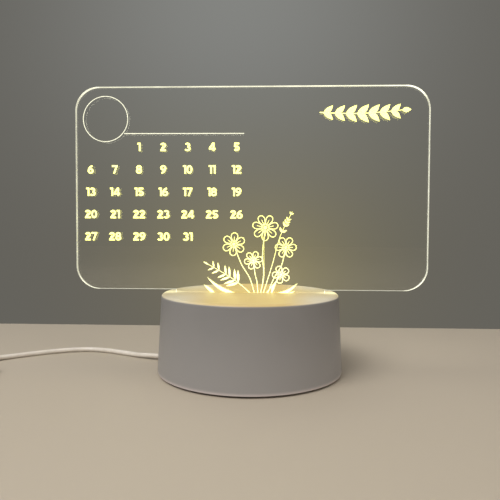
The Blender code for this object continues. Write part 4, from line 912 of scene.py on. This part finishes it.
def draw_daisy(engraving, middle, radius, petals, turn):
    """Outlined petals with a vein each, round a filled heart."""
    engraving.slab(oval(middle, radius * DAISY_HEART_SHARE, radius * DAISY_HEART_SHARE)[:-1])
    length = radius * (1 - PETAL_START_SHARE)
    half_width = radius * math.sin(math.pi / petals) * PETAL_WIDTH_SHARE
    for petal in range(petals):
        heading = math.radians(turn) + math.tau * petal / petals
        along = Vector((math.cos(heading), math.sin(heading)))
        foot = Vector(middle) + along * radius * PETAL_START_SHARE
        engraving.loop(petal_outline(foot, heading, length, half_width), LINE)
        engraving.stroke([foot + along * length * share for share in VEIN_SHARES], LINE, LINE / 2)


def draw_leafed_stem(engraving, way, count, start_share, length, width, lean):
    """A stem with leaves or grains in pairs, which grow smaller to its tip."""
    stem = flat_route(way)
    engraving.stroke(stem, STEM_WIDTH, STEM_WIDTH / 2)
    last = len(stem) - 1
    for pair in range(count):
        share = start_share + (1 - start_share) * pair / count
        index = min(round(share * last), last - 1)
        ahead = stem[index + 1] - stem[index]
        heading = math.atan2(ahead.y, ahead.x)
        size = 1.0 - PAIR_TAPER * pair / count
        for side in (-1, 1):
            leaf = (stem[index], heading + side * math.radians(lean), length * size, width * size)
            engraving.slab(leaf_outline(*leaf, steps=SMALL_LEAF_STEPS))
    tip_heading = math.atan2(*(stem[last] - stem[last - 1]).yx)
    tip = (stem[last - 1], tip_heading, length * TIP_SHARE, width * TIP_SHARE)
    engraving.slab(leaf_outline(*tip, steps=SMALL_LEAF_STEPS))


def build_flowers(finish):
    """A spray of flowers and grass that grows from the base."""
    engraving = Engraving()
    for middle, radius, petals, turn, way in DAISIES:
        ahead = (Vector(middle) - Vector(way[-1])).normalized()
        end = Vector(middle) - ahead * radius * DAISY_HEART_SHARE
        engraving.stroke(flat_route([*way, end]), STEM_WIDTH)
        draw_daisy(engraving, middle, radius, petals, turn)
    for stem in LEAFED_STEMS:
        draw_leafed_stem(engraving, *stem)
    for place, heading, length, width, bow in BLADES:
        engraving.slab(leaf_outline((place, GROUND), math.radians(heading), length, width, bow))
    engraving.join("engraved_flowers", finish)


# Lead


def smooth_route(points, steps):
    """A smooth curve through the route's own points."""
    points = [Vector(point) for point in points]
    ends = [2 * points[0] - points[1], *points, 2 * points[-1] - points[-2]]
    route = []
    for before, start, end, after in zip(ends, ends[1:], ends[2:], ends[3:]):
        for step in range(steps):
            share = step / steps
            pull = (end - before) * share + (2 * before - 5 * start + 4 * end - after) * share**2
            route.append(start + (pull + (3 * start - before - 3 * end + after) * share**3) / 2)
    return route + [points[-1]]


def length_of(points):
    """Length along a route."""
    return sum((after - before).length for before, after in zip(points, points[1:]))


def eased(points):
    """The route at even steps, its sharper turns eased as a jacket lies; both ends keep their heading."""
    whole = length_of(points)
    count = round(whole / EASING_STEP)
    ways = [after - before for before, after in zip(points, points[1:])]
    even, index, walked = [points[0]], 0, 0.0
    for number in range(1, count):
        wanted = whole * number / count
        while walked + ways[index].length < wanted:
            walked += ways[index].length
            index += 1
        even.append(points[index] + ways[index] * ((wanted - walked) / ways[index].length))
    even.append(points[-1])
    for _ in range(EASING_PASSES):
        middle = [(a + 2 * b + c) / 4 for a, b, c in zip(even[1:-3], even[2:-2], even[3:-1])]
        even = [*even[:2], *middle, *even[-2:]]
    return even


def exit_point(distance, height=EXIT_HEIGHT):
    """A place on the line by which the lead leaves the base, at a distance from the axis."""
    return Vector((math.cos(EXIT_ANGLE) * distance, math.sin(EXIT_ANGLE) * distance, height))


def switch_along(distance):
    """A place on the switch's middle line, from its entry."""
    heading = Vector((math.cos(SWITCH_HEADING), math.sin(SWITCH_HEADING), 0))
    return SWITCH_ENTRY + heading * distance


def coil_points():
    """Spirals in on the lower layer, climbs where it reverses, and spirals out above."""
    span = COIL_END - COIL_START + COIL_WHOLE_TURNS * math.tau
    climb_start = span / 2 - math.pi / 2
    count = round(span / math.tau * COIL_POINTS_PER_TURN)
    points = []
    for step in range(count + 1):
        turned = span * step / count
        inward = min(turned, span - turned)
        share = min(max((turned - climb_start) / math.pi, 0.0), 1.0)
        height = COIL_LEVEL + COIL_PITCH * (1 - math.cos(math.pi * share)) / 2
        radius = COIL_RADIUS - COIL_PITCH * inward / math.tau
        angle = COIL_START + turned
        points.append(COIL_CENTRE + Vector((radius * math.cos(angle), radius * math.sin(angle), height)))
    return points


def add_lead(name, points, finish, replaces):
    """A stretch of the lead, as a round tube along close points, with its ends closed."""
    curve = bpy.data.curves.new(name, "CURVE")
    curve.dimensions = "3D"
    curve.bevel_depth = LEAD_DIAMETER / 2
    curve.bevel_resolution = LEAD_BEVEL_RESOLUTION
    curve.use_fill_caps = True
    spline = curve.splines.new("POLY")
    spline.points.add(len(points) - 1)
    for spot, point in zip(spline.points, points):
        spot.co = (*point, 1.0)
    spline.use_smooth = True
    add_piece(name, curve, [finish], "base", replaces)


def build_lead(finish):
    """The lead to the switch, and from the switch through the coil to the plug."""
    start = exit_point(EXIT_DISTANCE)
    first = [start, exit_point(EXIT_DISTANCE + LEAD_DIAMETER), *LEAD_ROUTE]
    first += [switch_along(-CLEARANCE - LEAD_DIAMETER), switch_along(-CLEARANCE)]
    near = eased(smooth_route(first, ROUTE_STEPS))
    add_lead("lead_to_switch", near, finish, ["cord_run"])

    coil = coil_points()
    before = coil[0] + (coil[0] - coil[1]).normalized() * LEAD_DIAMETER
    onward = (coil[-1] - coil[-2]).normalized()
    after = coil[-1] + onward * LEAD_DIAMETER
    plug_start = after + onward * PLUG_TAIL
    plug_start.z = PLUG_LEVEL
    leaving = switch_along(SWITCH_LENGTH + CLEARANCE)
    link = [leaving, switch_along(SWITCH_LENGTH + CLEARANCE + LEAD_DIAMETER), before]
    tail = [after, after + onward * LEAD_DIAMETER]
    tail += [plug_start - onward * LEAD_DIAMETER, plug_start - onward * CLEARANCE]
    far = smooth_route([*link, *coil, *tail], COIL_ROUTE_STEPS)
    near_end, far_end = eased(far[:EASED_END_POINTS]), eased(far[-EASED_END_POINTS:])
    far = [*near_end, *far[EASED_END_POINTS:-EASED_END_POINTS], *far_end]
    add_lead("lead_to_plug", far, finish, ["cord_link", "cord_coil", "cord_tail"])
    return start, near, leaving, far


def build_inner_lead(finish):
    """The lead's stretch inside the housing, from the relief to the clamp."""
    route = smooth_route([exit_point(distance, height) for distance, height in INNER_LEAD_ROUTE], ROUTE_STEPS)
    add_lead("lead_inside", route, finish, ["cord_lead"])


# Stage, lights and camera


def add_panel(name, corners, finish):
    """A flat piece of the stage with four corners."""
    data = bpy.data.meshes.new(name)
    data.from_pydata(corners, [], [(0, 1, 2, 3)])
    data.materials.append(finish.material)
    panel = new_object(name, data)
    return panel


def wall_finish():
    """A wall with its own light only, seen from the front by the camera and in gloss and glass."""
    finish = Finish("wall")
    x, _, z = finish.parts(finish.place())
    away = finish.distance(finish.math("SUBTRACT", z, BASE_TOP), x)
    colour = finish.mix(finish.fade(away, WALL_GLOW_FADE), WALL_LIGHT, WALL_GLOW)
    beside = finish.math("SUBTRACT", x, WALL_POOL_MIDDLE)
    pool = finish.fade(finish.times(beside, beside), 0.5 / WALL_POOL_SPREAD**2)
    pool = finish.times(pool, finish.ramp(z, *WALL_POOL_SPAN))
    lit = tuple(low + more for low, more in zip(WALL_LIGHT, WALL_POOL))
    light = finish.node("Emission", {"Color": finish.mix(pool, colour, lit)})
    clear = finish.node("BsdfTransparent")
    facing = finish.math("SUBTRACT", 1.0, finish.node("NewGeometry").outputs["Backfacing"])
    seen = finish.times(finish.seen_rays(), facing)
    mixed = finish.node("MixShader", {"Fac": seen, 1: clear.outputs["BSDF"], 2: light.outputs["Emission"]})
    finish.feed(finish.output.inputs["Surface"], mixed.outputs["Shader"])
    return finish


def build_stage():
    """The floor, and the wall behind, which gives the scene no light."""
    reach = FLOOR_HALF_SIZE
    floor = Finish("floor", base_color=FLOOR_COLOUR, roughness=FLOOR_ROUGHNESS)
    corners = ((-reach, -reach), (reach, -reach), (reach, reach), (-reach, reach))
    add_panel("floor", [(x, y, 0) for x, y in corners], floor)
    corners = ((-reach, 0), (reach, 0), (reach, WALL_HEIGHT), (-reach, WALL_HEIGHT))
    wall = add_panel("wall", [(x, WALL_DISTANCE, z) for x, z in corners], wall_finish())
    wall.visible_shadow = False
    wall.visible_diffuse = False


def build_world():
    """Plain soft light all round; the camera, gloss and glass see the grey of the wall."""
    world = bpy.data.worlds.new("world")
    bpy.context.scene.world = world
    world.use_nodes = True
    world.node_tree.nodes.clear()
    nodes = ShaderNodes(world.node_tree)
    light = nodes.node("Background", {"Color": WORLD_COLOUR, "Strength": WORLD_STRENGTH})
    grey = nodes.node("Background", {"Color": WALL_LIGHT})
    mixed = nodes.node("MixShader", {"Fac": nodes.seen_rays(), 1: light.outputs[0], 2: grey.outputs[0]})
    nodes.node("OutputWorld", {"Surface": mixed.outputs[0]})


def add_area_light(name, place, target, size, power, colour):
    """A round soft lamp that faces a target, and isn't seen through the board."""
    data = bpy.data.lights.new(name, "AREA")
    data.shape = "DISK"
    data.size = size
    data.energy = power
    data.color = colour
    lamp = new_object(name, data)
    lamp.visible_transmission = False
    lamp.location = place
    lamp.rotation_euler = (Vector(target) - Vector(place)).to_track_quat("-Z", "Y").to_euler()


def build_camera():
    """The camera at the photograph's own place, turn and lens."""
    data = bpy.data.cameras.new("camera")
    data.sensor_width = SENSOR_WIDTH
    data.lens = SENSOR_WIDTH * FOCAL_PIXELS / FRAME_PIXELS
    data.clip_start = CAMERA_NEAR
    camera = new_object("camera", data)
    turn = Matrix.Rotation(-CAMERA_YAW, 4, "Z") @ Matrix.Rotation(math.pi / 2 - CAMERA_PITCH, 4, "X")
    camera.matrix_world = Matrix.Translation(CAMERA_PLACE) @ turn @ Matrix.Rotation(CAMERA_ROLL, 4, "Z")
    bpy.context.scene.camera = camera


# CAD nodes that stay


# Smaller finishes: how each is made, its name, colour and roughness, and texts in the names of its nodes
SMALL_FINISHES = [
    (moulded_plastic, "carrier_plastic", srgb(206, 202, 196), 0.45, ["led_carrier", "cord_clamp"]),
    # The cover's grey is its own plastic, set darker than the housing so that the gap under the housing reads
    # as deep shade: partly painted shade.
    (moulded_plastic, "cover_plastic", srgb(118, 116, 115), 0.5, ["base_cover"]),
    (moulded_plastic, "switch_case_plastic", srgb(222, 217, 209), 0.38, ["switch_case", "switch_rocker"]),
    (metal_finish, "screw_steel", (0.62, 0.62, 0.61, 1.0), 0.30, ["screw"]),
    (metal_finish, "contact_brass", (0.80, 0.62, 0.32, 1.0), 0.28, ["contact"]),
    (metal_finish, "plug_steel", (0.72, 0.72, 0.72, 1.0), 0.22, ["usb_plug_shell"]),
    (plain_finish, "plug_tongue", (0.75, 0.75, 0.74, 1.0), 0.4, ["usb_plug_tongue"]),
    (plain_finish, "tie_black", (0.02, 0.02, 0.02, 1.0), 0.6, ["cord_tie"]),
    (plain_finish, "resistor_black", (0.02, 0.02, 0.022, 1.0), 0.4, ["resistor_"]),
    (plain_finish, "core_red", (0.55, 0.02, 0.02, 1.0), 0.4, ["lead_red"]),
    (plain_finish, "core_black", (0.02, 0.02, 0.02, 1.0), 0.4, ["lead_black"]),
]


def rounded_shading():
    """Makes the node group that shades a faceted surface as the round one, and keeps its real edges."""
    group = bpy.data.node_groups.new("rounded_shading", "GeometryNodeTree")
    for in_out in ("INPUT", "OUTPUT"):
        group.interface.new_socket("Geometry", in_out=in_out, socket_type="NodeSocketGeometry")
    node = Nodes(group).node
    source = node("NodeGroupInput").outputs[0]
    plain = node("GeometryNodeRemoveAttribute", {"Geometry": source, "Name": "custom_normal"}).outputs[0]
    joined = node("GeometryNodeMergeByDistance", {"Geometry": plain, "Distance": WELD_DISTANCE}).outputs[0]
    inputs = {"Geometry": joined, "Shade Smooth": True}
    smooth = node("GeometryNodeSetShadeSmooth", inputs, domain="FACE").outputs[0]
    angle = node("GeometryNodeInputMeshEdgeAngle").outputs["Unsigned Angle"]
    sharp = node("FunctionNodeCompare", {"A": angle, "B": SHARP_ANGLE}, operation="GREATER_THAN").outputs[0]
    inputs = {"Geometry": smooth, "Selection": sharp, "Shade Smooth": False}
    shaded = node("GeometryNodeSetShadeSmooth", inputs, domain="EDGE").outputs[0]
    node("NodeGroupOutput", {0: shaded})


def nodes_with(*texts):
    """Names of the CAD nodes that have one of the texts in their name."""
    return [name for name in NODES if any(text in name for text in texts)]


def dress(finish, *texts):
    """Gives CAD nodes that stay their material, and shades their round surfaces as round."""
    for name in nodes_with(*texts):
        node = NODES[name]
        node.data.materials.clear()
        node.data.materials.append(finish.material)
        node.modifiers.new("rounded_shading", "NODES").node_group = bpy.data.node_groups["rounded_shading"]
        even = node.modifiers.new("even_normals", "WEIGHTED_NORMAL")
        even.mode = "FACE_AREA_WITH_ANGLE"
        even.keep_sharp = True


def dress_nodes(lead):
    """The finish of each CAD node that stays."""
    rounded_shading()
    dress(housing_finish(), "base_shell")
    dress(rubber_finish(), "foot_")
    dress(lead, "strain_relief", "usb_plug_body")
    dress(board_mask_finish(), "led_board")
    dress(lamp_finish(), "led_0", "led_1")
    for make, name, colour, roughness, texts in SMALL_FINISHES:
        dress(make(name, colour, roughness), *texts)


def main():
    lead = lead_finish()
    dress_nodes(lead)
    build_sheet(acrylic_finish(), acrylic_edge_finish())
    frost = engraved_finish("engraved_frost", *FROST)
    faint_frost = engraved_finish("engraved_frost_faint", *FAINT_FROST)
    build_numbers(frost)
    build_ring_and_rule(faint_frost)
    build_sprig(frost)
    build_flowers(frost)
    build_inner_lead(lead)
    start, near, leaving, far = build_lead(lead)

    build_stage()
    build_world()
    for name, settings in LAMPS.items():
        add_area_light(name, *settings)
    build_camera()
    bpy.context.scene.view_settings.view_transform = "Standard"


main()
